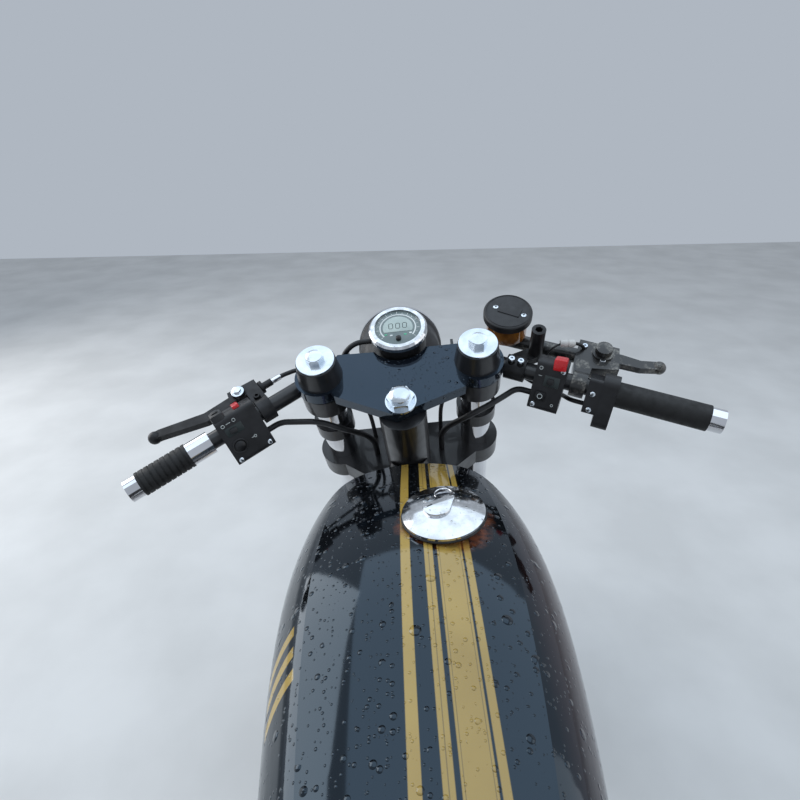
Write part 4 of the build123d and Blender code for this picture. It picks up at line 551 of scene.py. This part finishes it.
# %% Give every solid its finish
parts_list = (
    (satin_black, "spool_bosses frame_cradle swingarm seat_subframe lower_yoke handlebars"),
    (satin_black, "headlamp_brackets fork_top_cups gauge_bracket side_stand rear_shocks"),
    (tank_paint, "fuel_tank"),
    (wet_black, "top_yoke"),
    (mirror_black, "tail_cowl front_mudguard"),
    (heated, "exhausts"),
    (chrome, "grip_collar bar_ends fork_tubes"),
    (scratched_chrome, "fuel_cap"),
    (gauge_case, "gauge"),
    (plastic, "headlamp_shell control_cables switch_left switch_right throttle_housing"),
    (plastic, "battery_box reservoir_lid"),
    (worn_black, "brake_lever"),
    (lever_black, "mirror_post clutch_lever"),
    (hose_rubber, "brake_hoses"),
    (zinc, "yoke_bolts rear_axle front_axle shock_studs"),
    (steel, "chain gearbox_sprocket rear_sprocket front_discs"),
    (alloy, "crankcase cylinder_head carburettors fork_sliders rear_brake_plate foot_rests"),
    (cast_black, "cylinders front_calipers"),
    (polished, "front_wheel rear_wheel"),
    (front_rubber, "front_tyre"),
    (rear_rubber, "rear_tyre"),
    (grip_rubber, "grip_left grip_right"),
    (filter_fabric, "air_filters"),
    (leather, "seat_pad"),
    (clear_glass, "headlamp_glass"),
    (red_lens, "tail_lamp"),
    (amber_cup, "brake_reservoir"),
)
dressed = set()
for finish, names in parts_list:
    for name in names.split():
        solid = nodes[name]
        solid.data.materials.clear()
        solid.data.materials.append(finish)
        dressed.add(name)
print("dressed", len(dressed), "left", sorted(set(nodes) - dressed))

# %% [markdown]
# New pieces start as a few simple shapes. A lathe turns a profile of radius and height. A plate is
# an outline pushed up, a block is a squared lump, and a peg is a round or many-sided bar. Plates,
# blocks and pegs have softened edges, because a real edge is never quite sharp and catches a line
# of light.

# %% Shapes that pieces are made of
def turned(profile, steps):
    """A shape from the lathe: a profile of (radius, height) spun about the upright axis"""
    shape = bmesh.new()
    line = [shape.verts.new((radius, 0, height)) for radius, height in profile]
    for first, second in zip(line, line[1:]):
        shape.edges.new((first, second))
    bmesh.ops.spin(
        shape, geom=shape.verts[:] + shape.edges[:], cent=(0, 0, 0), axis=(0, 0, 1),
        dvec=(0, 0, 0), angle=2 * pi, steps=steps, use_merge=True, use_duplicate=False,
    )
    bmesh.ops.remove_doubles(shape, verts=shape.verts[:], dist=0.0001)
    return shape


def softened(shape, edge):
    """The same shape with its sharp edges rounded"""
    meeting = [line for line in shape.edges if len(line.link_faces) == 2]
    sharp = [line for line in meeting if line.calc_face_angle() > 0.5]
    bmesh.ops.bevel(
        shape, geom=sharp, offset=edge, offset_type="OFFSET", segments=2, profile=0.5,
        affect="EDGES", clamp_overlap=True, material=-1,
    )
    return shape


def plate(outline, low, high, edge=0.5):
    """An outline of (x, y) points pushed up from low to high"""
    shape = bmesh.new()
    face = shape.faces.new([shape.verts.new((x, y, low)) for x, y in outline])
    pushed = bmesh.ops.extrude_face_region(shape, geom=[face])
    raised = [item for item in pushed["geom"] if isinstance(item, bmesh.types.BMVert)]
    bmesh.ops.translate(shape, verts=raised, vec=(0, 0, high - low))
    bmesh.ops.recalc_face_normals(shape, faces=shape.faces[:])
    return softened(shape, edge)


def block(width, depth, height, edge, middle, turn=0.0):
    """A squared lump with soft edges"""
    shape = bmesh.new()
    bmesh.ops.create_cube(shape, size=1)
    bmesh.ops.scale(shape, verts=shape.verts[:], vec=(width, depth, height))
    softened(shape, edge)
    shape.transform(Matrix.Translation(middle) @ Matrix.Rotation(turn, 4, "Z"))
    return shape


def peg(radius, low, high, sides, edge=0.4):
    """A round or many-sided bar that stands upright"""
    shape = bmesh.new()
    bmesh.ops.create_cone(
        shape, cap_ends=True, segments=sides, radius1=radius, radius2=radius, depth=high - low
    )
    shape.transform(Matrix.Translation((0, 0, (low + high) / 2)))
    return softened(shape, edge)


def hoop(radius, thickness, height, at=(0, 0), steps=48):
    """A round ring that lies flat"""
    turns = [2 * pi * step / 10 for step in range(11)]
    ring = [(radius + thickness * cos(turn), height + thickness * sin(turn)) for turn in turns]
    shape = turned(ring, steps)
    shape.transform(Matrix.Translation((*at, 0)))
    return shape


print("shapes ready")

# %% [markdown]
# A shape becomes a piece when it is laid in its place, smoothed except at its sharp edges, given a
# finish, and told which body it rides on. Wires are curves, because a route is easier to draw than
# a skin.

# %% Join, lay and add
def together(*shapes):
    """Several shapes as one"""
    whole = bmesh.new()
    for shape in shapes:
        mesh = bpy.data.meshes.new("share")
        shape.to_mesh(mesh)
        shape.free()
        whole.from_mesh(mesh)
        bpy.data.meshes.remove(mesh)
    return whole


def laid(shape, place):
    """The same shape in another place"""
    shape.transform(place)
    return shape


def moved(shape, spot):
    """The same shape moved to a spot"""
    return laid(shape, Matrix.Translation(spot))


made_pieces = []


def carry(piece, finish, body):
    """Puts a piece in the scene with its finish, to ride on a body"""
    piece.data.materials.append(finish)
    bpy.context.scene.collection.objects.link(piece)
    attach(piece, body)
    made_pieces.append(piece)


def add_piece(name, shape, finish, place, body):
    """Puts a shape in its place as a finished piece"""
    shape.transform(place)
    bmesh.ops.recalc_face_normals(shape, faces=shape.faces[:])
    mesh = bpy.data.meshes.new(name)
    shape.to_mesh(mesh)
    shape.free()
    mesh.polygons.foreach_set("use_smooth", [True] * len(mesh.polygons))
    mesh.set_sharp_from_angle(angle=radians(35))
    carry(bpy.data.objects.new(name, mesh), finish, body)


def add_wire(name, points, radius, finish, place, body):
    """A thin wire or cable along smooth points"""
    curve = bpy.data.curves.new(name, "CURVE")
    curve.dimensions = "3D"
    curve.bevel_depth = radius * 0.001
    curve.bevel_resolution = 3
    curve.resolution_u = 6
    curve.use_fill_caps = True
    line = curve.splines.new("NURBS")
    line.points.add(len(points) - 1)
    for point, spot in zip(line.points, points):
        point.co = (*(place @ Vector(spot)), 1)
    line.order_u = 3
    line.use_endpoint_u = True
    carry(bpy.data.objects.new(name, curve), finish, body)


# %% [markdown]
# Three kinds of fastener hold the machine together: small screws with a cross in their dome, round
# bolts with a sunk hole, and six-sided bolts on washers. The cross is a piece of its own, because
# it is painted dark, as painted shade in the recess, and the dome is bright.

# %% Screws and bolts
def add_cross_screw(group, index, radius, height, spot, place):
    """A domed screw head and the cross in it, painted dark as painted shade, as two pieces"""
    rim, foot = height * 0.35, -0.5
    dome = ((0, height), (radius * 0.6, height * 0.85), (radius, rim), (radius, foot), (0, foot))
    arm = radius * 1.1, radius * 0.24, 0.5, 0.05, (0, 0, height)
    cross = together(*[block(*arm, turn) for turn in (0, pi / 2)])
    add_piece(f"{group}_screw_{index}", moved(turned(dome, 24), spot), zinc, place, "fork")
    # The cross is a dark raised piece: painted shade in the screw's recess.
    add_piece(f"{group}_slot_{index}", moved(cross, spot), dark_print_and_shade, place, "fork")


def socket_bolt(radius, height):
    """A round bolt head with a sunk hole"""
    hole, hole_floor = radius * 0.5, height * 0.45
    inside = ((0, hole_floor), (hole, hole_floor), (hole, height))
    outside = ((radius * 0.9, height), (radius, height * 0.85), (radius, 0), (0, 0))
    return turned(inside + outside, 30)


def hex_bolt(radius, height):
    """A six-sided bolt head on its washer"""
    washer = 1.4
    head = peg(radius, washer, height + washer, 6, 0.6)
    return together(peg(radius * 1.45, 0, washer, 30), head)


print("fasteners ready")

# %% [markdown]
# The dial sits in the gauge's sunk face: a grey-green disc, a pale screen with a flat foot, a
# curved scale with ticks and a row of small tell-tales. Each is a thin raised plate, so no picture
# is needed.

# %% Dial
dial = on_fork @ Matrix.Translation((*dial_spot, 17.5))
scale_start, scale_end, tick_gaps = -38, 218, 16


def arc(radius, start, end, steps):
    """Points on an arc, its angles in degrees from the right"""
    turns = [radians(start + (end - start) * step / steps) for step in range(steps + 1)]
    return [(radius * cos(turn), radius * sin(turn)) for turn in turns]


add_piece("dial_disc", peg(30.2, 0, 0.5, 64, 0.1), dial_grey, dial, "fork")
screen = plate(arc(19.5, -22, 202, 28), 0.5, 0.9, 0.15)
add_piece("dial_screen", screen, screen_pale, dial, "fork")
strip = arc(24.0, scale_start, scale_end, 40) + arc(22.2, scale_end, scale_start, 40)
add_piece("dial_scale", plate(strip, 0.5, 0.75, 0.08), mark_white, dial, "fork")
ticks = []
for step in range(tick_gaps + 1):
    turn = radians(scale_start + (scale_end - scale_start) * step / tick_gaps)
    long = 2.0 if step % 2 else 3.4
    reach = 25 + long / 2
    ticks.append(block(long, 0.7, 0.3, 0.08, (reach * cos(turn), reach * sin(turn), 0.62), turn))
add_piece("dial_ticks", together(*ticks), mark_white, dial, "fork")
strokes = ((0, 4.5, 4, 0.8), (0, -4.5, 4, 0.8), (2.6, 0, 0.8, 8), (-2.6, 0, 0.8, 8))
figures = []
for start in (-9, 0, 9):
    for x, y, width, depth in strokes:
        figures.append(block(width, depth, 0.2, 0.05, (start + x, 3 + y, 0.95)))
add_piece("dial_figures", together(*figures), dark_print_and_shade, dial, "fork")
lights = ((-16, mark_green), (-9, mark_white), (9, mark_green), (16, mark_white))
for index, (x, colour) in enumerate(lights):
    light = block(3.4, 2.4, 0.4, 0.3, (x, -15 + abs(x) * 0.25, 0.6))
    add_piece(f"tell_tale_{index}", light, colour, dial, "fork")
print("dial pieces", len(made_pieces))

# %% [markdown]
# The filler cap's lock hides under a small drop-shaped cover that swings on a pin. A thin ring
# marks where the cover turns.

# %% Key cover on the filler cap
cap_top = from_stem @ Matrix.Translation((cap_right, cap_ahead, cap_up))
round_end = [(x - 6, y - 3) for x, y in arc(14.5, 75, 345, 26)]
narrow_end = [(x + 5, y + 9) for x, y in arc(8, -40, 110, 10)]
cover = plate(round_end + narrow_end, -1.5, 2.2, 1.0)
add_piece("key_cover", cover, scratched_chrome, cap_top, "frame")
add_piece("key_ring", hoop(9, 0.7, -1.1, (2, 19)), chrome, cap_top, "frame")
# The key slit is a dark block on the cover: painted shade in the keyhole.
key_slit = block(6, 1.4, 0.8, 0.3, (-13, -2, 2.1), 0.5)
add_piece("key_slit", key_slit, dark_print_and_shade, cap_top, "frame")
add_piece("cap_seal", hoop(42.2, 1.1, -12.0), grip_rubber, cap_top, "frame")
print("cap pieces done")

# %% [markdown]
# The left block carries the red button, the big rocker, a slider and the horn button, which stand
# out of its face by a few millimetres. The signs beside them are thin rings and bars, with no
# letters.

# %% Switches on the left
left, right = on_block[-1], on_block[1]
face = 18


def slider_well(start, end, low, high):
    """A dark rectangle that a slider runs in"""
    corners = ((start, low), (end, low), (end, high), (start, high))
    return plate(corners, face - 0.8, face + 0.5)


def add_signs(name, rings, bar, place):
    """White signs on a block: rings of (x, y, radius) and a bar of (x, y, length)"""
    sign_up = face + 0.1
    signs = [hoop(radius, 0.35, sign_up, (x, y), 20) for x, y, radius in rings]
    signs.append(block(bar[2], 0.6, 0.3, 0.1, (*bar[:2], sign_up)))
    add_piece(name, together(*signs), mark_white, place, "fork")


horn_dome = turned(((0, 21.5), (4, 21.2), (6.8, 19.6), (7.2, 17.5), (0, 17.5)), 32)
for name, shape, finish in (
    ("pass_button", block(9, 7, 17, 1.2, (125.5, 24.5, 3)), button_red),
    ("rocker_box", block(17, 17, 24, 3.0, (151.5, 22.5, 5)), plastic),
    ("rocker_nub", block(9, 3, 12, 1.2, (151.5, 31.2, 4)), lever_black),
    ("slide_well", slider_well(130, 153, -3, 9), dark_print_and_shade),
    ("slide_nub", block(9, 7, 5, 1.2, (143, 3, 19.5)), plastic),
    ("horn_rim", hoop(8.6, 1.3, 18.2, (146, -19), 32), plastic),
    ("horn_button", moved(horn_dome, (146, -19, 0)), lever_black),
):
    add_piece(name, shape, finish, left, "fork")
add_signs("left_marks", ((136.5, 14.5, 2.0), (152, 13.5, 2.0)), (144.5, 14, 6), left)
add_signs("horn_mark", ((124, -18, 1.6),), (127.5, -18, 3.2), left)
print("pieces", len(made_pieces))

# %% [markdown]
# The right block carries the red rocker, the starter button and the slider of the lights. Small
# cross-head screws hold both blocks and the throttle housing together.

# %% Switches on the right and the blocks' screws
for name, shape, finish in (
    ("stop_rocker", block(16, 15, 22, 2.2, (113.5, 22.5, 9.5), radians(4)), button_red),
    ("start_button", block(13, 12, 5, 1.4, (99, -22, 18.5)), lever_black),
    ("start_mark", hoop(3.0, 0.4, 21.1, (99, -22), 24), mark_white),
    ("light_well", slider_well(99, 118, -8, 6), dark_print_and_shade),
    ("light_nub", block(8, 8, 5, 1.4, (107, -1, 19)), plastic),
):
    add_piece(name, shape, finish, right, "fork")
add_signs("right_marks", ((92, 14, 2.0), (116, -31, 1.5)), (93, 4, 4), right)
for group, block_frame, spots in (
    ("left_block", left, ((112, -35, 18), (154, -36, 18))),
    ("right_block", right, ((92, -35, 18), (119, 15, 18))),
    ("throttle_block", right, ((159.5, -3, 16), (160, -24, 16))),
):
    for index, spot in enumerate(spots):
        add_cross_screw(group, index, 3.2, 2.0, spot, block_frame)
print("pieces", len(made_pieces))

# %% [markdown]
# The fluid pot's lid has a raised plate between two screws. The levers turn on bolts, and a
# knurled wheel takes up the clutch cable.

# %% Pot lid, lever bolts and cable wheel
lid = on_fork @ Matrix.Translation((152, 121.5, 10)) @ Matrix.Rotation(radians(-32), 4, "Z")
add_piece("lid_plate", block(29, 15, 1.4, 0.5, (0, 1, 0.4)), plastic, lid, "fork")
add_piece("lid_ridge", hoop(29, 0.8, 0.0, (-2, 0)), plastic, lid, "fork")
for index, x in enumerate((-19.5, 19.5)):
    add_cross_screw("lid", index, 3.4, 1.6, (x, 0, 0), lid)

face_out, face_in = Matrix.Rotation(pi / 2, 4, "Y"), Matrix.Rotation(-pi / 2, 4, "Y")
wheel = together(peg(9, 0, 5, 26, 0.6), peg(6, 5, 9, 26, 0.6))
ferrule = turned(((0, 0), (4.2, 0), (4.2, 12), (3.4, 14), (0, 14)), 24)
for name, shape, finish in (
    ("clutch_pivot", moved(hex_bolt(6, 4), (112, 37, 15)), zinc),
    ("clutch_clamp_bolt", moved(socket_bolt(4.6, 5), (95, 15, 11)), lever_black),
    ("clutch_wheel", moved(laid(wheel, face_out), (79, 36, 0)), lever_black),
    ("clutch_ferrule", moved(laid(ferrule, face_in), (66, 36, 0)), chrome),
):
    add_piece(name, shape, finish, on_bar[-1], "fork")
for group, radius, spots in (
    ("perch", 3.6, ((160, 38, 11), (134, 55, 11))),
    ("post", 4.0, ((53, -4, 20), (65, -4, 20))),
):
    for index, spot in enumerate(spots):
        bolt = moved(socket_bolt(radius, 3), spot)
        add_piece(f"{group}_bolt_{index}", bolt, zinc, on_bar[1], "fork")
print("pieces", len(made_pieces))

# %% [markdown]
# The brake switch's white plug hangs between the pot and the right block, with a thin wire into it
# and a thicker one out. Its ribs come from the lathe's profile.

# %% White plug of the brake switch
ribs = ((4.4, 0), (5, 1.5), (5, 9), (4.2, 9), (4.2, 10.5), (5, 10.5), (5, 17), (3.6, 19))
plug_turn = Matrix.Rotation(radians(20), 4, "Z") @ face_out
plug = moved(laid(turned(((0, 0), *ribs, (0, 19)), 24), plug_turn), (104, 40, 22))
add_piece("plug_body", plug, plug_white, on_bar[1], "fork")
wire_in = ((106, 41, 22), (98, 36, 19), (92, 30, 10), (88, 24, -4), (84, 18, -16))
wire_out = ((121, 46, 22), (127, 48, 21), (132, 50, 16), (134, 52, 10))
add_wire("plug_wire_in", wire_in, 1.3, hose_rubber, on_bar[1], "fork")
add_wire("plug_wire_out", wire_out, 2.2, hose_rubber, on_bar[1], "fork")
print("pieces", len(made_pieces))

# %% [markdown]
# The seat is a real cushion: the pad's solid is remeshed evenly, blown up a little by the cloth
# simulation, and held to a few millimetres of movement.

# %% Helpers for the cushion
pad_solid = bpy.data.objects["seat_pad"]
square, swell_frames, swell_limit = 0.0055, 20, 0.006


def settle(piece):
    """Makes what the modifiers show the piece's own mesh"""
    shown = piece.evaluated_get(bpy.context.evaluated_depsgraph_get())
    mesh = bpy.data.meshes.new_from_object(shown)
    piece.modifiers.clear()
    piece.data = mesh


def even_cushion():
    """The pad's solid as an even mesh of small squares, slightly smaller than the solid"""
    shape = bmesh.new()
    shape.from_mesh(pad_solid.data)
    bmesh.ops.remove_doubles(shape, verts=shape.verts[:], dist=0.0001)
    middle = sum((point.co for point in shape.verts), Vector()) / len(shape.verts)
    about_middle = Matrix.Translation(-middle)
    bmesh.ops.scale(shape, verts=shape.verts[:], vec=(0.965, 0.985, 0.9), space=about_middle)
    mesh = bpy.data.meshes.new("seat_cushion")
    shape.to_mesh(mesh)
    shape.free()
    cushion = bpy.data.objects.new("seat_cushion", mesh)
    bpy.context.scene.collection.objects.link(cushion)
    even = cushion.modifiers.new("even squares", "REMESH")
    even.mode, even.voxel_size = "VOXEL", square
    settle(cushion)
    return cushion


def swell(piece, most):
    """Blows a piece up like a stuffed bag, with no point moving further than a limit"""
    before = [point.co.copy() for point in piece.data.vertices]
    cloth = piece.modifiers.new("swell", "CLOTH")
    cloth.settings.use_pressure = True
    cloth.settings.uniform_pressure_force = 4
    cloth.settings.effector_weights.gravity = 0
    cloth.point_cache.frame_start, cloth.point_cache.frame_end = 1, swell_frames
    for moment in range(1, swell_frames + 1):
        bpy.context.scene.frame_set(moment)
    settle(piece)
    for point, start in zip(piece.data.vertices, before):
        step = point.co - start
        if step.length > most:
            point.co = start + step * (most / step.length)
    bpy.context.scene.frame_set(1)


print("cushion helpers ready")

# %% [markdown]
# The sewn channels are pressed in after the cushion has swollen, because the remesh would wipe
# them out. Each is a soft groove across the top that fades out before it reaches the sides.

# %% Seat cushion
pad_front, pad_back, pad_channels = -518, -912, 8
pad_top, channel_depth, channel_reach, channel_half = 762, 3.5, 84, 4

cushion = even_cushion()
swell(cushion, swell_limit)
finer = cushion.modifiers.new("finer", "SUBSURF")
finer.levels = finer.render_levels = 1
settle(cushion)
to_stem = from_stem.inverted()
channel_pitch = (pad_front - pad_back) / pad_channels
for point in cushion.data.vertices:
    spot = to_stem @ point.co
    nearest = round((pad_front - spot.y) / channel_pitch)
    if spot.z > pad_top and 0 < nearest < pad_channels:
        off = spot.y - (pad_front - nearest * channel_pitch)
        fade = min(1, max(0, (channel_reach - abs(spot.x)) / 12))
        spot.z -= channel_depth * exp(-((off / channel_half) ** 2)) * fade
        point.co = from_stem @ spot
cushion.data.polygons.foreach_set("use_smooth", [True] * len(cushion.data.polygons))
cushion.data.materials.clear()
cushion.data.materials.append(leather)
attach(cushion, "frame")
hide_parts("seat_pad")
print("cushion", len(cushion.data.polygons), "faces")

# %% [markdown]
# Below the cockpit the machine has its ordinary fasteners. A ring of bolts is one mesh: a bolt is
# made once for each place and all are joined. The engine's covers have a polished dome within
# their ring, and the head has its nuts and a cap over each cylinder's valves.

# %% Bolts of the engine covers, head and discs
def facing(side, x, y, z):
    """A place on the machine's flank whose upright axis points outward"""
    spot = Matrix.Translation((side * x, y, z))
    return from_stem @ spot @ Matrix.Rotation(side * pi / 2, 4, "Y")


def bolt_ring(name, radius, count, size, height, place, body, start=0.0):
    """Steel bolts in a ring as one piece"""
    bolts = []
    for index in range(count):
        turn = start + 2 * pi * index / count
        spot = (radius * cos(turn), radius * sin(turn), 0)
        bolts.append(moved(socket_bolt(size, height), spot))
    add_piece(name, together(*bolts), steel, place, body)


for name, side, x, y, z, radius in (
    ("left_cover", -1, 170, -192, 340, 78),
    ("clutch_cover", 1, 172, -342, 345, 84),
    ("timing_cover", 1, 164, -172, 330, 60),
):
    cover_face, edge = facing(side, x, y, z), radius * 0.72
    bolt_ring(name + "_bolts", radius - 8, 8, 4.5, 4, cover_face, "frame")
    crown = ((0, 5), (radius * 0.45, 4.2), (radius * 0.66, 2.2))
    dome = turned((*crown, (edge, 0), (edge, -1), (0, -1)), 64)
    add_piece(name + "_dome", dome, polished, cover_face, "frame")
head_top = from_stem @ Matrix.Translation((0, -202, 655))
studs = [(x, y, 0) for x in (-92, -30, 30, 92) for y in (-58, 58)]
nuts = together(*[moved(hex_bolt(7, 6), spot) for spot in studs])
add_piece("head_nuts", nuts, zinc, head_top, "frame")
tappets = []
for x in (-56, 56):
    tappet = together(peg(25, 18, 22, 40, 1.0), peg(13, 22, 28, 6, 1.0))
    tappets.append(moved(tappet, (x, 0, 0)))
add_piece("tappet_caps", together(*tappets), polished, head_top, "frame")
sides = ((-1, "left"), (1, "right"))
for side, word in sides:
    disc, hub = [facing(side, x, front_axle, axle_up) for x in (65, 56)]
    bolt_ring(word + "_disc_bolts", 92, 6, 4.5, 3, disc, "front_wheel")
    bolt_ring(word + "_axle_face", 30, 5, 3.5, 2, hub, "front_wheel", 0.3)
print("bolts done, pieces", len(made_pieces))

# %% [markdown]
# Each cylinder has a spark plug whose lead runs up under the tank, and an exhaust that two nuts
# clamp to its port. A ring clamps the silencer to the header further back.

# %% Plug caps, leads and exhaust clamps
cylinder_out, face_ahead = 62, Matrix.Rotation(-pi / 2, 4, "X")


def add_plug(word, x):
    """A spark plug's cap and its lead"""
    plug = from_stem @ Matrix.Translation((x, -118, 636)) @ Matrix.Rotation(radians(-62), 4, "X")
    profile = ((0, 0), (8, 0), (8, 8), (10, 10), (10, 24), (7, 30), (5, 36), (0, 36))
    add_piece(word + "_plug_cap", turned(profile, 28), plastic, plug, "frame")
    route = ((1, -87, 652), (0.9, -72, 672), (0.6, -84, 696), (0.4, -120, 704), (0.3, -160, 706))
    lead = [(x * share, y, z) for share, y, z in route]
    add_wire(word + "_plug_lead", lead, 3.5, hose_rubber, from_stem, "frame")


def add_exhaust_clamps(word, side, x):
    """The collar at the port and the ring that holds the silencer"""
    flange = from_stem @ Matrix.Translation((x, -117.5, 600)) @ face_ahead
    collar = ((20.5, 0), (33, 0), (33, 7), (28, 10), (24, 17), (20.5, 17), (20.5, 0))
    nuts = [moved(hex_bolt(5, 4), (offset, 0, 7)) for offset in (-28, 28)]
    clamp = together(turned(collar, 40), *nuts)
    add_piece(word + "_port_clamp", clamp, polished, flange, "frame")
    along = Vector((side * 0.247, -0.96, 0.11))
    mouth = from_stem @ axes(Vector((side * 193, -600, 249)), (1, 0, 0), (0, 0, 1), along)
    ring = turned(((19.5, -9), (22, -9), (22, 9), (19.5, 9), (19.5, -9)), 40)
    bolt = moved(laid(peg(4, 0, 12, 6), face_out), (0, -22, 0))
    add_piece(word + "_silencer_clamp", together(ring, bolt), zinc, mouth, "frame")


print("plug and exhaust helpers ready")

# %% [markdown]
# Behind each cylinder sit a carburettor and an open filter of folded cloth. The pleats are a star
# pushed out along the filter, between a chrome cap and a steel band.

# %% Filters, carburettor ends and the drain bolt
pleat_points, ridge, valley = 72, 38.2, 36.2


def add_filter(word, x):
    """A filter's pleats, end cap and band"""
    end = from_stem @ Matrix.Translation((x, -424.5, 605)) @ face_ahead
    pleats = []
    for index in range(pleat_points):
        reach, turn = ridge if index % 2 else valley, 2 * pi * index / pleat_points
        pleats.append((reach * cos(turn), reach * sin(turn)))
    add_piece(word + "_filter_pleats", plate(pleats, 8, 62, 0.2), filter_fabric, end, "frame")
    cap = turned(((0, -3), (30, -3), (38, 0), (38.6, 4), (38.6, 8), (0, 8)), 48)
    add_piece(word + "_filter_cap", cap, chrome, end, "frame")
    ring = turned(((35, 62), (38.6, 62), (38.6, 72), (35, 72), (35, 62)), 48)
    add_piece(word + "_filter_band", ring, steel, end, "frame")


def add_carburettor_ends(word, x):
    """The nut under the float bowl and the cap over the slide"""
    bowl, top = [from_stem @ Matrix.Translation((x, -319.5, z)) for z in (557, 647)]
    nut = together(peg(13, -3, 0, 40), peg(7, -8, -3, 6, 0.6))
    add_piece(word + "_bowl_nut", nut, zinc, bowl, "frame")
    slide_cap = together(peg(20.6, -6, 0, 36, 0.8), peg(8, 0, 6, 24, 0.8))
    add_piece(word + "_slide_cap", slide_cap, lever_black, top, "frame")


for side, word in sides:
    x = side * cylinder_out
    add_plug(word, x)
    add_exhaust_clamps(word, side, x)
    add_filter(word, x)
    add_carburettor_ends(word, x)
drain = from_stem @ Matrix.Translation((0, -250, 218.5)) @ Matrix.Rotation(pi, 4, "X")
add_piece("oil_drain", hex_bolt(11, 6), zinc, drain, "frame")
print("engine fittings done, pieces", len(made_pieces))

# %% [markdown]
# The tail lamp's lens has raised rings and a chrome rim. The headlamp has a chrome rim too, and
# its glass has upright flutes that spread the light.

# %% Lamp rims and lens rings
tail = from_stem @ Matrix.Translation((0, -1162, 785)) @ Matrix.Rotation(pi / 2, 4, "X")
rings = together(*[hoop(radius, 0.7, 0.2, steps=40) for radius in (6, 12, 18, 24)])
add_piece("tail_lamp_rings", rings, red_lens, tail, "frame")
add_piece("tail_lamp_rim", hoop(28.8, 1.6, -8, steps=56), chrome, tail, "frame")
lamp = from_stem @ Matrix.Translation((0, 190, 922)) @ face_ahead
outside = ((54.5, 46), (57, 52), (61, 53), (65.6, 49), (65.6, 40))
rim = turned((*outside, (65.2, 40), (62, 45), (56, 45), (54.5, 46)), 72)
add_piece("headlamp_rim", rim, chrome, lamp, "fork")
flutes = [block(0.9, 92 - abs(x) * 0.5, 0.7, 0.2, (x, 0, 50.2)) for x in range(-40, 41, 8)]
add_piece("lens_flutes", together(*flutes), clear_glass, lamp, "fork")
print("lamps done, pieces", len(made_pieces))

# %% [markdown]
# The stage is a pale floor with a soft sky and three large soft lamps: one overhead and two at the
# sides, so that the black paint shows long clean reflections.

# %% Floor, sky and lamps
floor_mesh = bpy.data.meshes.new("floor")
floor_shape = bmesh.new()
bmesh.ops.create_grid(floor_shape, x_segments=1, y_segments=1, size=6)
floor_shape.to_mesh(floor_mesh)
floor_shape.free()
floor = bpy.data.objects.new("floor", floor_mesh)
bpy.context.scene.collection.objects.link(floor)
floor_paint = grained(
    "pale_floor", (0.62, 0.62, 0.61), (0.7, 0.7, 0.69), 0.8, scale=3, grain=60, depth=0.0002
)
floor_mesh.materials.append(floor_paint)

world = bpy.data.worlds.new("soft_sky")
world.use_nodes = True
sky = world.node_tree.nodes["Background"]
sky.inputs["Color"].default_value = (0.78, 0.86, 0.97, 1)
sky.inputs["Strength"].default_value = 0.55
bpy.context.scene.world = world


def soft_lamp(name, place, aim, size, power, colour=(1, 1, 1)):
    """A large square lamp that points at a spot"""
    data = bpy.data.lights.new(name, "AREA")
    data.shape, data.size = "SQUARE", size
    data.energy, data.color = power, colour
    lamp = bpy.data.objects.new(name, data)
    lamp.location = place
    lamp.rotation_euler = (Vector(aim) - Vector(place)).to_track_quat("-Z", "Y").to_euler()
    bpy.context.scene.collection.objects.link(lamp)


soft_lamp("overhead", (0.1, 0.5, 3.4), (0, 0, 0.6), 4.2, 54, (0.72, 0.86, 1.0))
soft_lamp("left_wall", (-2.9, 1.3, 2.0), (0, 0.2, 0.6), 3.0, 62)
soft_lamp("right_wall", (3.2, -0.6, 1.6), (0, 0, 0.6), 3.0, 22)
print("stage ready")
